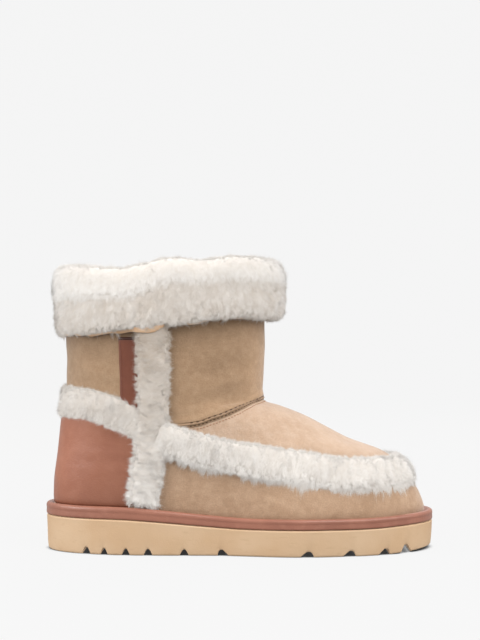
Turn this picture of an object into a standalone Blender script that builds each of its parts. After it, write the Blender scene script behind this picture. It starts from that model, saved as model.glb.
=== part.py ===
"""Right ankle boot of suede and shearling on a thick moulded sole, at its real size.

X runs from heel to toe, Y from the outer side (-) to the inner side (+), and Z is up from the floor.
The upper is a stack of level sections. Each point of it has an angle phi round the foot, 0 at the heel's
back, 180 degrees at the toe and below 180 on the outer side, and a height z. Every other piece is worked
out from that same surface.
"""

import math

import bmesh
import bpy
import numpy as np

# Driving sizes, in metres.
SOLE_LENGTH = 0.276
WELT_LEDGE = 0.006  # how far sole and welt stand out past the upper
BALL_WIDTH = 0.092  # of the upper, at its widest
SHAFT_LENGTH = 0.1405  # of the shaft, front to back
SHAFT_WIDTH = 0.088
INSTEP_HEIGHT = 0.0852  # from the sole under the ball to the throat
SHAFT_RISE = 0.0925  # from the throat to the collar
HEEL_LEAN = 0.0103  # how far the back leans in from the heel to the ankle
TOE_SWING = 0.006  # how far the toe curves to the inner side
WALL = 0.003
GAP = 0.0003  # between pieces that touch

SOLE_HEEL = 0.0245  # thickness of the sole
SOLE_BALL = 0.0183
SOLE_TOE = 0.0198
TOE_SPRING = 0.0024
HEEL_ROLL = 0.0006
SOLE_EDGE = 0.0012  # the bevel round the sole's underside
SOLE_TAPER = 0.0012
GROOVE_DEPTH = 0.0044

WELT_HEIGHT_HEEL = 0.0086
WELT_HEIGHT_TOE = 0.0074
INSOLE_THICKNESS = 0.005
LAP = 0.0014  # the shaft's skin laps over the vamp by this step
LEATHER = 0.0013

STRIP_WIDTH = 0.0235  # sheepskin trim, without its locks
STRIP_HEIGHT = 0.0070
HEEL_PILE = 0.0058  # height of the heel's strip, which is pressed flatter
UPRIGHT_WIDTH = 0.0225
TAB_WIDTH = 0.0098
TAB_TOP = 0.131  # height of the tab's top above the sole under the ball
LOCK = 0.0022  # how far a lock of wool stands out of the pile
DROOP = 0.0012

CUFF_DEPTH = 0.0125  # pile of the turned-down cuff
CUFF_INSIDE = 0.0075  # pile inside the collar
CUFF_TOP = 0.0085  # pile above the collar's edge
CUFF_REACH = 0.0235  # how far the pile goes down inside
HIDE = 0.0012  # the cuff's skin
HIDE_SHOWS = 0.0010  # how far the skin's cut edge shows below the pile

COLUMNS = 52  # points round the boot

# Places worked out from the sizes.
UPPER_LENGTH = SOLE_LENGTH - 2 * WELT_LEDGE
HEEL_X = -UPPER_LENGTH / 2
TOE_X = UPPER_LENGTH / 2
THROAT_Z = SOLE_BALL + INSTEP_HEIGHT
COLLAR_Z = THROAT_Z + SHAFT_RISE
SHAFT_BACK_X = HEEL_X + 0.8 * HEEL_LEAN
SHAFT_FRONT_X = SHAFT_BACK_X + SHAFT_LENGTH

# The sections, from the sole up. Level 0 is the sole's top under the ball, 1 the throat and 2 the collar.
# Reach is where the front lies, 0 at the shaft's front and 1 at the toe. Lean is a share of HEEL_LEAN.
# The half breadths are shares of half the ball's width, or where shaft is 1 of half the shaft's width.
# Square is the exponent of the section's oval: 2 is an ellipse.
SECTIONS = """
level  reach  lean  heel  waist_out waist_in ball_out ball_in toe   square shaft
0.000  1.000  0.10  1.02  0.83      0.74     1.09     1.02    1.19  2.50   0
0.114  0.998  0.12  1.03  0.85      0.76     1.10     1.03    1.20  2.50   0
0.231  0.972  0.14  1.04  0.87      0.79     1.10     1.04    1.20  2.50   0
0.349  0.915  0.18  1.04  0.89      0.83     1.08     1.03    1.18  2.48   0
0.454  0.858  0.28  1.04  0.91      0.87     1.05     1.01    1.15  2.45   0
0.536  0.800  0.37  1.03  0.92      0.89     1.02     0.99    1.11  2.40   0
0.595  0.740  0.43  1.03  0.93      0.90     1.00     0.97    1.07  2.35   0
0.654  0.645  0.48  1.02  0.93      0.91     0.98     0.96    1.02  2.25   0
0.716  0.522  0.54  1.02  0.93      0.92     0.96     0.95    0.97  2.15   0.1
0.806  0.376  0.62  1.02  0.94      0.93     0.95     0.94    0.93  2.08   0.3
0.900  0.225  0.72  1.02  0.95      0.95     0.95     0.94    0.91  2.05   0.6
0.959  0.104  0.80  1.02  0.96      0.96     0.96     0.95    0.91  2.05   0.8
0.996  0.016  0.85  1.02  0.97      0.97     0.97     0.96    0.93  2.05   1
1.020 -0.003  0.88  1.01  0.97      0.97     0.97     0.96    0.94  2.05   1
1.092 -0.006  0.95  1.00  0.97      0.97     0.97     0.96    0.95  2.10   1
1.178 -0.002  1.00  0.99  0.97      0.97     0.97     0.97    0.97  2.15   1
1.297  0.002  0.99  0.99  0.98      0.98     0.98     0.98    0.98  2.18   1
1.449  0.008  0.93  1.00  0.99      0.99     0.99     0.99    0.99  2.20   1
1.568  0.008  0.88  1.01  1.00      1.00     1.00     1.00    1.00  2.20   1
2.000  0.008  0.80  1.02  1.02      1.02     1.02     1.02    1.01  2.20   1
"""
STATIONS = (0.0, 0.42, 0.70, 1.0)  # where heel, waist, ball and toe lie along a section

# Lines over the outer side, from back to front, which the inner side repeats. Along is a share of the
# upper's length from the heel, and level is as in the sections.
REAR_LINE = """
along  level
0.000  1.006
0.095  1.000
0.160  0.950
0.209  0.880
0.235  0.838
"""
FRONT_LINE = """
along  level
0.290  0.745
0.405  0.632
0.500  0.582
0.625  0.532
0.727  0.482
0.795  0.457
0.885  0.452
0.926  0.450
1.000  0.450
"""
UPRIGHT_LINE = """
along  level
0.262  1.700
0.266  1.290
0.268  1.020
0.265  0.815
0.256  0.560
0.240  0.190
"""
SEAM_LINE = """
along  level
0.000  1.004
0.200  0.930
0.290  0.825
0.356  0.825
0.388  0.843
0.433  0.885
0.494  0.954
0.527  0.982
0.565  1.001
"""
LAP_FROM = 0.362  # along, where the lap begins, beside the upright trim, and where it is whole
LAP_WHOLE = 0.385

# Grooves across the underside: where, how wide at the floor, and how far the roof leans forward.
GROOVES = """
along  width   lean   depth
0.107  0.0057  0.000  1.00
0.153  0.0048  0.000  0.95
0.210  0.0053  0.000  0.95
0.267  0.0060  0.000  0.95
0.357  0.0063  0.000  0.92
0.458  0.0078  -0.001 0.90
0.675  0.0096  0.001  0.85
0.785  0.0090  0.001  0.85
0.877  0.0078  0.001  0.90
0.936  0.0070  0.000  1.15
"""
GROOVE_ROOF = 0.42  # the roof's width as a share of the mouth's

# The cuff's edges above the sole under the ball, from back to front along the shaft.
CUFF_LINES = """
along  bottom  top     depth
0.000  0.1355  0.1822  0.64
0.100  0.1385  0.1822  0.76
0.220  0.1425  0.1825  0.92
0.330  0.1445  0.1865  1.00
0.420  0.1455  0.1885  1.00
0.700  0.1465  0.1885  0.98
0.900  0.1450  0.1870  0.98
1.000  0.1440  0.1855  0.98
"""
CUFF_LINES_FOR = 0.1777  # the collar's height above the ball that these lines are written for

SUEDE = (0.66, 0.49, 0.36)
TERRACOTTA = (0.45, 0.21, 0.145)
DARK_TERRACOTTA = (0.33, 0.15, 0.10)
CREAM = (0.80, 0.62, 0.42)
WOOL = (0.86, 0.81, 0.73)
HIDE_TAN = (0.72, 0.47, 0.29)


def table(text):
    """The columns of a table as arrays by name."""
    rows = [line.split() for line in text.strip().splitlines()]
    values = np.array(rows[1:], float)
    return {name: values[:, i] for i, name in enumerate(rows[0])}


def smooth(xs, ys, x):
    """Monotone cubic through the points (xs, ys), level past both ends."""
    x = np.clip(x, xs[0], xs[-1])
    step = np.diff(xs)
    rise = np.diff(ys) / step
    slope = np.zeros(len(xs))
    slope[0], slope[-1] = rise[0], rise[-1]
    same_way = rise[:-1] * rise[1:] > 0
    before, after = step[:-1] + 2 * step[1:], 2 * step[:-1] + step[1:]
    with np.errstate(divide="ignore", invalid="ignore"):
        mean = (before + after) / (before / rise[:-1] + after / rise[1:])
    slope[1:-1] = np.where(same_way, mean, 0.0)
    i = np.clip(np.searchsorted(xs, x, side="right") - 1, 0, len(xs) - 2)
    h = step[i]
    t = (x - xs[i]) / h
    return (
        ys[i] * (1 + 2 * t) * (1 - t) ** 2
        + slope[i] * h * t * (1 - t) ** 2
        + ys[i + 1] * t * t * (3 - 2 * t)
        + slope[i + 1] * h * t * t * (t - 1)
    )


def ease(low, high, x):
    """0 below low, 1 above high, and smooth between them."""
    t = np.clip((x - low) / (high - low), 0, 1)
    return t * t * (3 - 2 * t)


sections = table(SECTIONS)


def column(name, z):
    """A column of the sections at height z."""
    below = (z - SOLE_BALL) / INSTEP_HEIGHT
    above = 1 + (z - THROAT_Z) / SHAFT_RISE
    return smooth(sections["level"], sections[name], np.where(z < THROAT_Z, below, above))


def height(level):
    """The height of a level: 0 the sole's top under the ball, 1 the throat, 2 the collar."""
    level = np.asarray(level, float)
    return np.where(level < 1, SOLE_BALL + INSTEP_HEIGHT * level, THROAT_Z + SHAFT_RISE * (level - 1))


def along_x(share):
    return HEEL_X + UPPER_LENGTH * np.asarray(share, float)


def ends(z):
    """X of the section's back and front at height z."""
    back = HEEL_X + HEEL_LEAN * column("lean", z)
    front = SHAFT_FRONT_X + (TOE_X - SHAFT_FRONT_X) * column("reach", z)
    return back, front


def swing(x):
    """How far the foot's middle line lies to the inner side."""
    return TOE_SWING * np.clip(x / TOE_X, 0, 2) ** 2


def skin(phi, z):
    """Points on the upper's outer surface."""
    phi, z = np.broadcast_arrays(np.asarray(phi, float), np.asarray(z, float))
    outer = np.sin(phi) >= 0
    s = (1 - np.cos(phi)) / 2
    back, front = ends(z)
    shaft = column("shaft", z)
    breadths = [
        column("heel", z),
        np.where(outer, column("waist_out", z), column("waist_in", z)),
        np.where(outer, column("ball_out", z), column("ball_in", z)),
        column("toe", z),
    ]
    breadth = blend_stations(s, breadths)
    breadth = breadth * (BALL_WIDTH * (1 - shaft) + SHAFT_WIDTH * shaft) / 2
    oval = np.sqrt(np.clip(1 - np.abs(2 * s - 1) ** column("square", z), 0, 1))
    x = back + (front - back) * s
    y = np.where(outer, -1, 1) * breadth * oval + swing(x)
    return np.stack([x, y, z], -1)


def blend_stations(s, values):
    """Eases from station to station, so that the section has no corner at a station."""
    out = values[0]
    for i in range(1, len(STATIONS)):
        out = out + (values[i] - values[i - 1]) * ease(STATIONS[i - 1], STATIONS[i], s)
    return out


STEP_PHI = 1e-4
STEP_Z = 1e-5


def slopes(phi, z):
    """How the surface runs with phi and with z."""
    by_phi = (skin(phi + STEP_PHI, z) - skin(phi - STEP_PHI, z)) / (2 * STEP_PHI)
    by_z = (skin(phi, z + STEP_Z) - skin(phi, z - STEP_Z)) / (2 * STEP_Z)
    return by_phi, by_z


def unit(v):
    return v / np.linalg.norm(v, axis=-1, keepdims=True)


def normal(phi, z):
    return unit(np.cross(*slopes(phi, z)))


def off_skin(phi, z, offset):
    """Points at a distance from the upper's outer surface, outwards if positive."""
    phi, z, offset = np.broadcast_arrays(phi, z, offset)
    return skin(phi, z) + normal(phi, z) * offset[..., None]


def phi_at(x, z):
    """The angle on the outer side where the section at height z has this x."""
    back, front = ends(z)
    return np.arccos(np.clip(1 - 2 * (x - back) / (front - back), -1, 1))


def line_on_side(text):
    """A smooth line on the outer side as x and z."""
    t = table(text)
    rows = np.arange(len(t["along"]), dtype=float)
    fine = np.linspace(0, rows[-1], 10 * len(rows))
    return along_x(smooth(rows, t["along"], fine)), height(smooth(rows, t["level"], fine))


def along_side(text):
    """The same line as phi and z."""
    x, z = line_on_side(text)
    return phi_at(x, z), z


def sole_top(x):
    """Height of the sole's top, on which upper, welt and insole stand."""
    heel = SOLE_HEEL + (SOLE_BALL - SOLE_HEEL) * ease(along_x(0.15), along_x(0.55), x)
    return heel + (SOLE_TOE - SOLE_BALL) * ease(along_x(0.80), along_x(1.02), x)


def sole_bottom(x):
    toe = np.clip((x - along_x(0.84)) / (along_x(1.02) - along_x(0.84)), 0, None) ** 2
    heel = np.clip((along_x(0.03) - x) / (0.05 * UPPER_LENGTH), 0, None) ** 2
    return TOE_SPRING * toe + HEEL_ROLL * heel


def feather_z(phi):
    """Height where the upper meets the sole, at each phi."""
    z = np.full(np.shape(phi), SOLE_HEEL)
    for _ in range(4):
        z = sole_top(skin(phi, z)[..., 0])
    return z


def outline(phi, offset):
    """The upper's outline at the sole, seen from above, moved outwards by offset."""
    z = SOLE_HEEL
    here = skin(phi, z)
    by_phi, _ = slopes(phi, z)
    out = unit(np.stack([by_phi[..., 1], -by_phi[..., 0]], -1))
    return here[..., :2] + out * np.asarray(offset)[..., None]


def welt_top(x):
    rise = WELT_HEIGHT_HEEL + (WELT_HEIGHT_TOE - WELT_HEIGHT_HEEL) * ease(along_x(0.2), along_x(0.6), x)
    return sole_top(x) + rise


def add_object(name, vertices, faces, colour, roughness, smooth_faces=True):
    mesh = bpy.data.meshes.new(name)
    mesh.from_pydata([tuple(map(float, v)) for v in vertices], [], faces)
    edit = bmesh.new()
    edit.from_mesh(mesh)
    bmesh.ops.remove_doubles(edit, verts=edit.verts, dist=1e-6)
    bmesh.ops.recalc_face_normals(edit, faces=edit.faces)
    edit.to_mesh(mesh)
    edit.free()
    material = bpy.data.materials.new(name)
    material.use_nodes = True
    shader = material.node_tree.nodes["Principled BSDF"]
    shader.inputs["Base Color"].default_value = (*colour, 1.0)
    shader.inputs["Roughness"].default_value = roughness
    shader.inputs["Metallic"].default_value = 0.0
    mesh.materials.append(material)
    if smooth_faces:
        mesh.shade_smooth()
        mesh.set_sharp_from_angle(angle=math.radians(40))
    made = bpy.data.objects.new(name, mesh)
    bpy.context.scene.collection.objects.link(made)
    return made


def loft(loops, ring):
    """Faces between closed loops of points, as an array of loops by points. A ring joins the last loop
    to the first, and otherwise both ends are closed."""
    count, size = loops.shape[:2]
    faces = []
    for i in range(count if ring else count - 1):
        here, there = i * size, ((i + 1) % count) * size
        for j in range(size):
            k = (j + 1) % size
            faces.append((here + j, there + j, there + k, here + k))
    if not ring:
        faces.append(tuple(range(size))[::-1])
        faces.append(tuple((count - 1) * size + j for j in range(size)))
    return loops.reshape(-1, 3), faces


def raise_locks(made, chosen, length, droop):
    """Pulls a lock of wool out of each chosen face of a pile. chosen says which faces, from the face's
    index, centre and normal, and droop is how far a lock hangs down."""
    edit = bmesh.new()
    edit.from_mesh(made.data)
    edit.faces.ensure_lookup_table()
    picked = [f for f in edit.faces if len(f.verts) == 4 and chosen(f.index, f.calc_center_median(), f.normal)]
    outward = {f.index: f.normal.copy() for f in picked}
    order = [f.index for f in picked]
    tips = bmesh.ops.poke(edit, faces=picked)["verts"]
    for n, (tip, index) in enumerate(zip(tips, order)):
        share = 0.75 + 0.25 * math.sin(2.4 * n)
        tip.co += outward[index] * length * share
        tip.co.z -= droop * share
    edit.to_mesh(made.data)
    edit.free()


def cut(made, cutters):
    """Takes the cutters out of a piece."""
    for cutter in cutters:
        modifier = made.modifiers.new("cut_" + cutter.name, "BOOLEAN")
        modifier.operation = "DIFFERENCE"
        modifier.solver = "EXACT"
        modifier.object = cutter
        cutter.hide_render = True
        cutter.display_type = "WIRE"


def around():
    return np.arange(COLUMNS) * 2 * np.pi / COLUMNS


# Sole


def sole_loops(half_phi, bands):
    """Cross-sections of a slab under the foot. Each band is (inset from the outline, height at x)."""
    loops = []
    for phi in half_phi:
        outer = [(*outline(phi, WELT_LEDGE - inset), level) for inset, level in bands]
        inner = [(*outline(2 * np.pi - phi, WELT_LEDGE - inset), level) for inset, level in bands[::-1]]
        loops.append([(x, y, level(x)) for x, y, level in outer + inner])
    return np.array(loops)


def make_outsole():
    half_phi = np.linspace(0, np.pi, COLUMNS // 2 + 1)
    bands = [
        (SOLE_EDGE + SOLE_TAPER, sole_bottom),
        (SOLE_TAPER, lambda x: sole_bottom(x) + SOLE_EDGE),
        (0.0003, lambda x: sole_top(x) - 0.0012),
        (0.0009, sole_top),
    ]
    sole = add_object("outsole", *loft(sole_loops(half_phi, bands), ring=False), CREAM, 0.55)
    cut(sole, [groove_cutter(i) for i in range(len(table(GROOVES)["along"]))])
    return sole


def groove_cutter(i):
    """A bar across the sole with a groove's profile, from below the floor up to its roof."""
    t = table(GROOVES)
    x, width, lean = along_x(t["along"][i]), t["width"][i], t["lean"][i]
    roof = GROOVE_DEPTH * t["depth"][i] + sole_bottom(x)
    below = 2 * TOE_SPRING
    slant = (1 - GROOVE_ROOF) * width / 2
    foot = width / 2 + slant * below / roof
    top = width / 2 * GROOVE_ROOF
    profile = [
        (x - foot - lean * below / roof, -below),
        (x + foot - lean * below / roof, -below),
        (x + lean + top, 0.88 * roof),
        (x + lean + 0.6 * top, roof),
        (x + lean - 0.6 * top, roof),
        (x + lean - top, 0.88 * roof),
    ]
    loops = np.array([[(px, y, pz) for px, pz in profile] for y in (-BALL_WIDTH, BALL_WIDTH)])
    return add_object(f"groove_{i:02d}", *loft(loops, ring=False), CREAM, 0.6, smooth_faces=False)


def make_welt():
    """The rolled leather rand: (outwards as a share of its ledge, up as a share of its height)."""
    profile = [
        (0.00, 0.00),
        (0.94, 0.00),
        (1.02, 0.14),
        (1.04, 0.45),
        (0.95, 0.72),
        (0.74, 0.92),
        (0.44, 1.00),
        (0.16, 0.95),
        (0.00, 0.80),
    ]
    phi = around()
    loops = []
    for p in phi:
        x = outline(p, WELT_LEDGE / 2)[0]
        bottom, top = sole_top(x) + GAP, welt_top(x)
        loop = []
        for out, up in profile:
            z = bottom + (top - bottom) * up
            ledge = outline(p, GAP + (WELT_LEDGE - GAP) * out)
            inner = off_skin(p, z, GAP)[:2]
            at = inner if out == 0 else ledge
            loop.append((*at, z))
        loops.append(loop)
    return add_object("welt", *loft(np.array(loops), ring=True), TERRACOTTA, 0.4)


def make_insole():
    """The footbed, which fits inside the upper's wall: (inset from the wall, height above the sole)."""
    profile = [(0.0, GAP), (0.0, 0.7 * INSOLE_THICKNESS), (0.0015, INSOLE_THICKNESS)]
    loops = []
    for phi in np.linspace(0, np.pi, COLUMNS // 2 + 1):
        loop = []
        for side, bands in ((phi, profile), (2 * np.pi - phi, profile[::-1])):
            for inset, rise in bands:
                z = feather_z(side) + rise
                x, y, _ = off_skin(side, z, -WALL - 2 * GAP - inset)
                loop.append((x, y, z))
        loops.append(loop)
    return add_object("insole", *loft(np.array(loops), ring=False), WOOL, 0.9)


# Upper


def seam_z(phi):
    """Height of the seam between vamp and shaft, all the way round."""
    side_phi, side_z = along_side(SEAM_LINE)
    folded = np.arccos(np.cos(phi))
    return np.interp(folded, side_phi, side_z)


def lap_at(phi, z):
    """Step of the shaft over the vamp. It runs out before the upright trim."""
    return LAP * ease(along_x(LAP_FROM), along_x(LAP_WHOLE), skin(phi, z)[..., 0])


def collar_z(phi):
    return cuff_line("top", phi) - CUFF_TOP


def cuff_column(name, phi):
    """A column of the cuff's table at each phi."""
    t = table(CUFF_LINES)
    return smooth(t["along"], t[name], (1 - np.cos(phi)) / 2)


def cuff_line(name, phi):
    """Height of one of the cuff's edges."""
    return SOLE_BALL + cuff_column(name, phi) * (INSTEP_HEIGHT + SHAFT_RISE) / CUFF_LINES_FOR


def make_upper():
    """One hollow wall: up its outside, with the lap's step at the seam, over the collar and down inside."""
    phi = around()
    foot, seam, collar = feather_z(phi) + GAP, seam_z(phi), collar_z(phi)
    outside = []
    for v in np.linspace(0, 1, 12):
        outside.append(off_skin(phi, foot + (seam - foot) * v, 0.0))
    lapped = seam + LAP / 2
    for v in np.linspace(0, 1, 7):
        z = lapped + (collar - lapped) * v
        outside.append(off_skin(phi, z, lap_at(phi, z)))
    inside = []
    for v in np.linspace(1, 0, 11):
        z = foot + (collar - foot) * v
        points = off_skin(phi, z, -WALL)
        if v in (0.0, 1.0):
            points[:, 2] = z
        inside.append(points)
    loops = np.stack(outside + inside, 1)
    return add_object("upper", *loft(loops, ring=True), SUEDE, 0.85)


# Pieces laid over the upper


def walk(phi, z, heading, distance, steps=6):
    """Moves each point over the surface by a distance along its heading."""
    for _ in range(steps):
        by_phi, by_z = slopes(phi, z)
        a = (by_phi * by_phi).sum(-1)
        b = (by_phi * by_z).sum(-1)
        c = (by_z * by_z).sum(-1)
        p, q = (heading * by_phi).sum(-1), (heading * by_z).sum(-1)
        det = a * c - b * b
        go_phi, go_z = (c * p - b * q) / det, (a * q - b * p) / det
        speed = np.linalg.norm(by_phi * go_phi[..., None] + by_z * go_z[..., None], axis=-1)
        phi = phi + go_phi * distance / steps / speed
        z = z + go_z * distance / steps / speed
    return phi, z


def resample(phi, z, count):
    """Evenly spaced points, by length over the surface, on the line through the given ones."""
    walked = np.concatenate([[0], np.cumsum(np.linalg.norm(np.diff(skin(phi, z), axis=0), axis=1))])
    even = np.linspace(0, walked[-1], count)
    return np.interp(even, walked, phi), np.interp(even, walked, z)


def ribbon(phi, z, shares, width):
    """Phi and z of lines beside a line over the surface, at shares of half the width."""
    points = skin(phi, z)
    heading = unit(np.gradient(points, axis=0))
    sideways = np.cross(normal(phi, z), heading)
    lines = [walk(phi, z, sideways, share * width / 2) for share in shares]
    return np.stack([line[0] for line in lines]), np.stack([line[1] for line in lines])


PILE = (  # the trim's section: share of half the width, share of the height
    (-1.0, 0.38),
    (-0.90, 0.66),
    (-0.52, 0.94),
    (0.0, 1.04),
    (0.52, 0.94),
    (0.90, 0.66),
    (1.0, 0.38),
)


BLOCK = [(share, 1.0) for share, _ in PILE]  # a plain section, to cut with
UNDERSIDE = (6, 4, 3, 2, 0)  # the points of the section that the strip's back has too


def strip_loops(phi, z, width, pile_height, base, section=PILE):
    """Closed sections of a strip over the line."""
    shares = [share for share, _ in section]
    wide_phi, wide_z = ribbon(phi, z, shares, width)
    over = [off_skin(p, q, base + up * pile_height) for p, q, (_, up) in zip(wide_phi, wide_z, section)]
    under = [off_skin(wide_phi[i], wide_z[i], base) for i in UNDERSIDE]
    return np.stack(over + under, 1)


def strip(name, phi, z, width, pile_height, base, ragged):
    """A strip of pile with locks. A ragged one has locks at its edges too, and its ends are cut later."""
    made = add_object(name, *loft(strip_loops(phi, z, width, pile_height, base), ring=False), WOOL, 0.95)
    size = len(PILE) + len(UNDERSIDE)
    margin, spare = (0, 3) if ragged else (1, 0)

    def on_top(index, centre, face_normal):
        along, across = divmod(index, size)
        clear_of_ends = spare <= along < len(phi) - 1 - spare
        clear_of_edges = margin <= across < len(PILE) - 1 - margin
        return clear_of_ends and clear_of_edges and (along + across) % 2 == 0

    raise_locks(made, on_top, LOCK, DROOP)
    return made


def front_line():
    """The trim's line round the toe, from the outer upright to the inner one."""
    phi, z = along_side(FRONT_LINE)
    return np.concatenate([phi, 2 * np.pi - phi[-2::-1]]), np.concatenate([z, z[-2::-1]])


def rear_line():
    """The trim's line round the heel, from the inner upright to the outer one."""
    phi, z = along_side(REAR_LINE)
    return np.concatenate([-phi[:0:-1], phi]), np.concatenate([z[:0:-1], z])


def upright_line(inner):
    """The upright trim's line, from under the cuff down to the welt."""
    x, z = line_on_side(UPRIGHT_LINE)
    hem = cuff_line("bottom", phi_at(x[0], z[0])) - HIDE_SHOWS - 3 * GAP
    foot = welt_top(along_x(0.24)) + 5 * GAP
    z = foot + (hem - foot) * (z - z[-1]) / (z[0] - z[-1])
    phi = phi_at(x, z)
    return (2 * np.pi - phi if inner else phi), z


def make_trim():
    """Strips of sheepskin over the seams: two uprights, one round the toe and one round the heel."""
    base_low, base_high = 1.9 * GAP, GAP + LAP
    for side, inner in (("outer", False), ("inner", True)):
        phi, z = resample(*upright_line(inner), 21)
        strip(f"trim_upright_{side}", phi, z, UPRIGHT_WIDTH, STRIP_HEIGHT, base_low, ragged=False)
    clearance = []
    for side, inner in (("outer", False), ("inner", True)):
        phi, z = resample(*upright_line(inner), 21)
        tall = STRIP_HEIGHT + 3 * LOCK
        loops = strip_loops(phi, z, UPRIGHT_WIDTH + 4 * GAP, tall, -WALL, section=BLOCK)
        clearance.append(
            add_object(f"clear_{side}", *loft(loops, ring=False), WOOL, 0.9, smooth_faces=False)
        )
    phi, z = resample(*front_line(), 53)
    x = skin(phi, z)[:, 0]
    base = base_low + (base_high - base_low) * (1 - ease(along_x(0.40), along_x(0.46), x))
    toe = strip("trim_toe", phi, z, STRIP_WIDTH, STRIP_HEIGHT, base, ragged=True)
    phi, z = resample(*rear_line(), 25)
    heel = strip("trim_heel", phi, z, STRIP_WIDTH, HEEL_PILE, base_low, ragged=True)
    cut(toe, clearance)
    cut(heel, clearance)


def upright_edge(z):
    """Phi of the outer upright's rear edge, with its clearance, at height z."""
    phi, line_z = resample(*upright_line(False), 21)
    edge_phi, edge_z = ribbon(phi, line_z, [-1.0], UPRIGHT_WIDTH + 7 * GAP)
    order = np.argsort(edge_z[0])
    return np.interp(z, edge_z[0][order], edge_phi[0][order])


def heel_edge(phi, upper_side):
    """Height of the heel trim's upper or lower edge, with its clearance, at phi."""
    line_phi, line_z = resample(*rear_line(), 25)
    share = 1.0 if upper_side else -1.0
    edge_phi, edge_z = ribbon(line_phi, line_z, [share], STRIP_WIDTH + 9 * GAP)
    order = np.argsort(edge_phi[0])
    return np.interp(phi, edge_phi[0][order], edge_z[0][order])


def panel(name, phi, z, base, thickness, colour, roughness):
    """A sheet over the upper from a grid of phi and z, columns by rows."""
    outside = off_skin(phi, z, base + thickness)
    inside = off_skin(phi, z, base)[:, ::-1]
    return add_object(name, *loft(np.concatenate([outside, inside], 1), ring=False), colour, roughness)


def make_counter():
    """The leather heel counter, between the uprights and under the heel's trim."""
    share = np.linspace(-1, 1, 21)[:, None] * np.ones((1, 7))
    up = np.ones((21, 1)) * np.linspace(0, 1, 7)[None, :]
    phi = share * 1.0
    z = np.full(phi.shape, SOLE_HEEL)
    for _ in range(8):
        low = welt_top(skin(phi, z)[..., 0]) + 2 * GAP
        z = low + (heel_edge(phi, False) - low) * up
        phi = share * upright_edge(z)
    panel("heel_counter", phi, z, GAP, LEATHER, TERRACOTTA, 0.35)


def make_tabs():
    """The leather tab behind each upright, from the heel's trim up to under the cuff."""
    for side, sign in (("outer", 1), ("inner", -1)):
        back = np.linspace(1, 0, 4)[:, None] * np.ones((1, 8))
        up = np.ones((4, 1)) * np.linspace(0, 1, 8)[None, :]
        phi = np.full(back.shape, 1.2)
        z = np.full(back.shape, THROAT_Z)
        for _ in range(8):
            low = heel_edge(phi, True)
            z = low + (SOLE_BALL + TAB_TOP - low) * up
            edge = upright_edge(z)
            by_phi, _ = slopes(edge, z)
            phi = edge - back * TAB_WIDTH / np.linalg.norm(by_phi, axis=-1)
        panel(f"leather_tab_{side}", phi * sign, z, GAP, LEATHER, DARK_TERRACOTTA, 0.4)


# Cuff


def cuff_point(phi, z, out):
    """A point level with z, outwards from the shaft's skin by out."""
    by_phi, _ = slopes(phi, z)
    level = unit(np.stack([by_phi[..., 1], -by_phi[..., 0], np.zeros_like(phi)], -1))
    return skin(phi, z) + level * np.asarray(out)[..., None]


def make_cuff():
    """Turned-down sheepskin: the pile hooks over the collar, and its skin lies against the shaft."""
    phi = around()
    bottom, top = cuff_line("bottom", phi), cuff_line("top", phi)
    collar = collar_z(phi)
    tall = top - bottom
    deep = CUFF_DEPTH * cuff_column("depth", phi)
    skin_out = LAP + GAP + HIDE + GAP
    pile = [  # outwards, height
        (skin_out, bottom),
        (0.55 * deep, bottom - 0.0012),
        (0.92 * deep, bottom + 0.08 * tall),
        (1.04 * deep, bottom + 0.28 * tall),
        (1.06 * deep, bottom + 0.50 * tall),
        (1.00 * deep, bottom + 0.72 * tall),
        (0.74 * deep, bottom + 0.90 * tall),
        (0.30 * deep, top),
        (-WALL - 0.10 * CUFF_INSIDE, top - 0.0002),
        (-WALL - 0.72 * CUFF_INSIDE, top - 0.25 * CUFF_TOP),
        (-WALL - 1.00 * CUFF_INSIDE, top - 1.1 * CUFF_TOP),
        (-WALL - 0.85 * CUFF_INSIDE, top - 0.85 * CUFF_REACH),
        (-WALL - 2 * GAP, top - CUFF_REACH),
        (-WALL - 2 * GAP, collar + HIDE + 3 * GAP),
        (skin_out, collar + HIDE + 3 * GAP),
    ]
    loops = np.stack([cuff_point(phi, z, np.full(len(phi), out)) for out, z in pile], 1)
    made = add_object("cuff_pile", *loft(loops, ring=True), WOOL, 0.95)
    size = len(pile)

    def outside(index, centre, face_normal):
        along, across = divmod(index, size)
        return 2 <= across <= 8 and (along + across) % 2 == 0

    raise_locks(made, outside, LOCK, DROOP)
    skin_section = [
        (LAP + GAP, bottom - HIDE_SHOWS),
        (LAP + GAP + HIDE, bottom - HIDE_SHOWS),
        (LAP + GAP + HIDE, collar + GAP + HIDE),
        (-WALL, collar + GAP + HIDE),
        (-WALL, collar + GAP),
        (LAP + GAP, collar + GAP),
    ]
    loops = np.stack([cuff_point(phi, z, np.full(len(phi), out)) for out, z in skin_section], 1)
    add_object("cuff_hide", *loft(loops, ring=True), HIDE_TAN, 0.8)


def place_on_floor():
    """Moves the whole boot so that the origin is the middle of its box, on the floor."""
    made = [o for o in bpy.context.scene.objects if o.type == "MESH"]
    bpy.context.view_layer.update()
    graph = bpy.context.evaluated_depsgraph_get()
    corners = []
    for piece in made:
        if not piece.hide_render:
            mesh = piece.evaluated_get(graph).to_mesh()
            corners += [tuple(v.co) for v in mesh.vertices]
            piece.evaluated_get(graph).to_mesh_clear()
    low, high = np.min(corners, axis=0), np.max(corners, axis=0)
    for piece in made:
        piece.location = (-(low[0] + high[0]) / 2, -(low[1] + high[1]) / 2, -low[2])


def main():
    for old in list(bpy.data.objects):
        bpy.data.objects.remove(old, do_unlink=True)
    make_outsole()
    make_welt()
    make_insole()
    make_upper()
    make_trim()
    make_counter()
    make_tabs()
    make_cuff()
    place_on_floor()


main()
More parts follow.
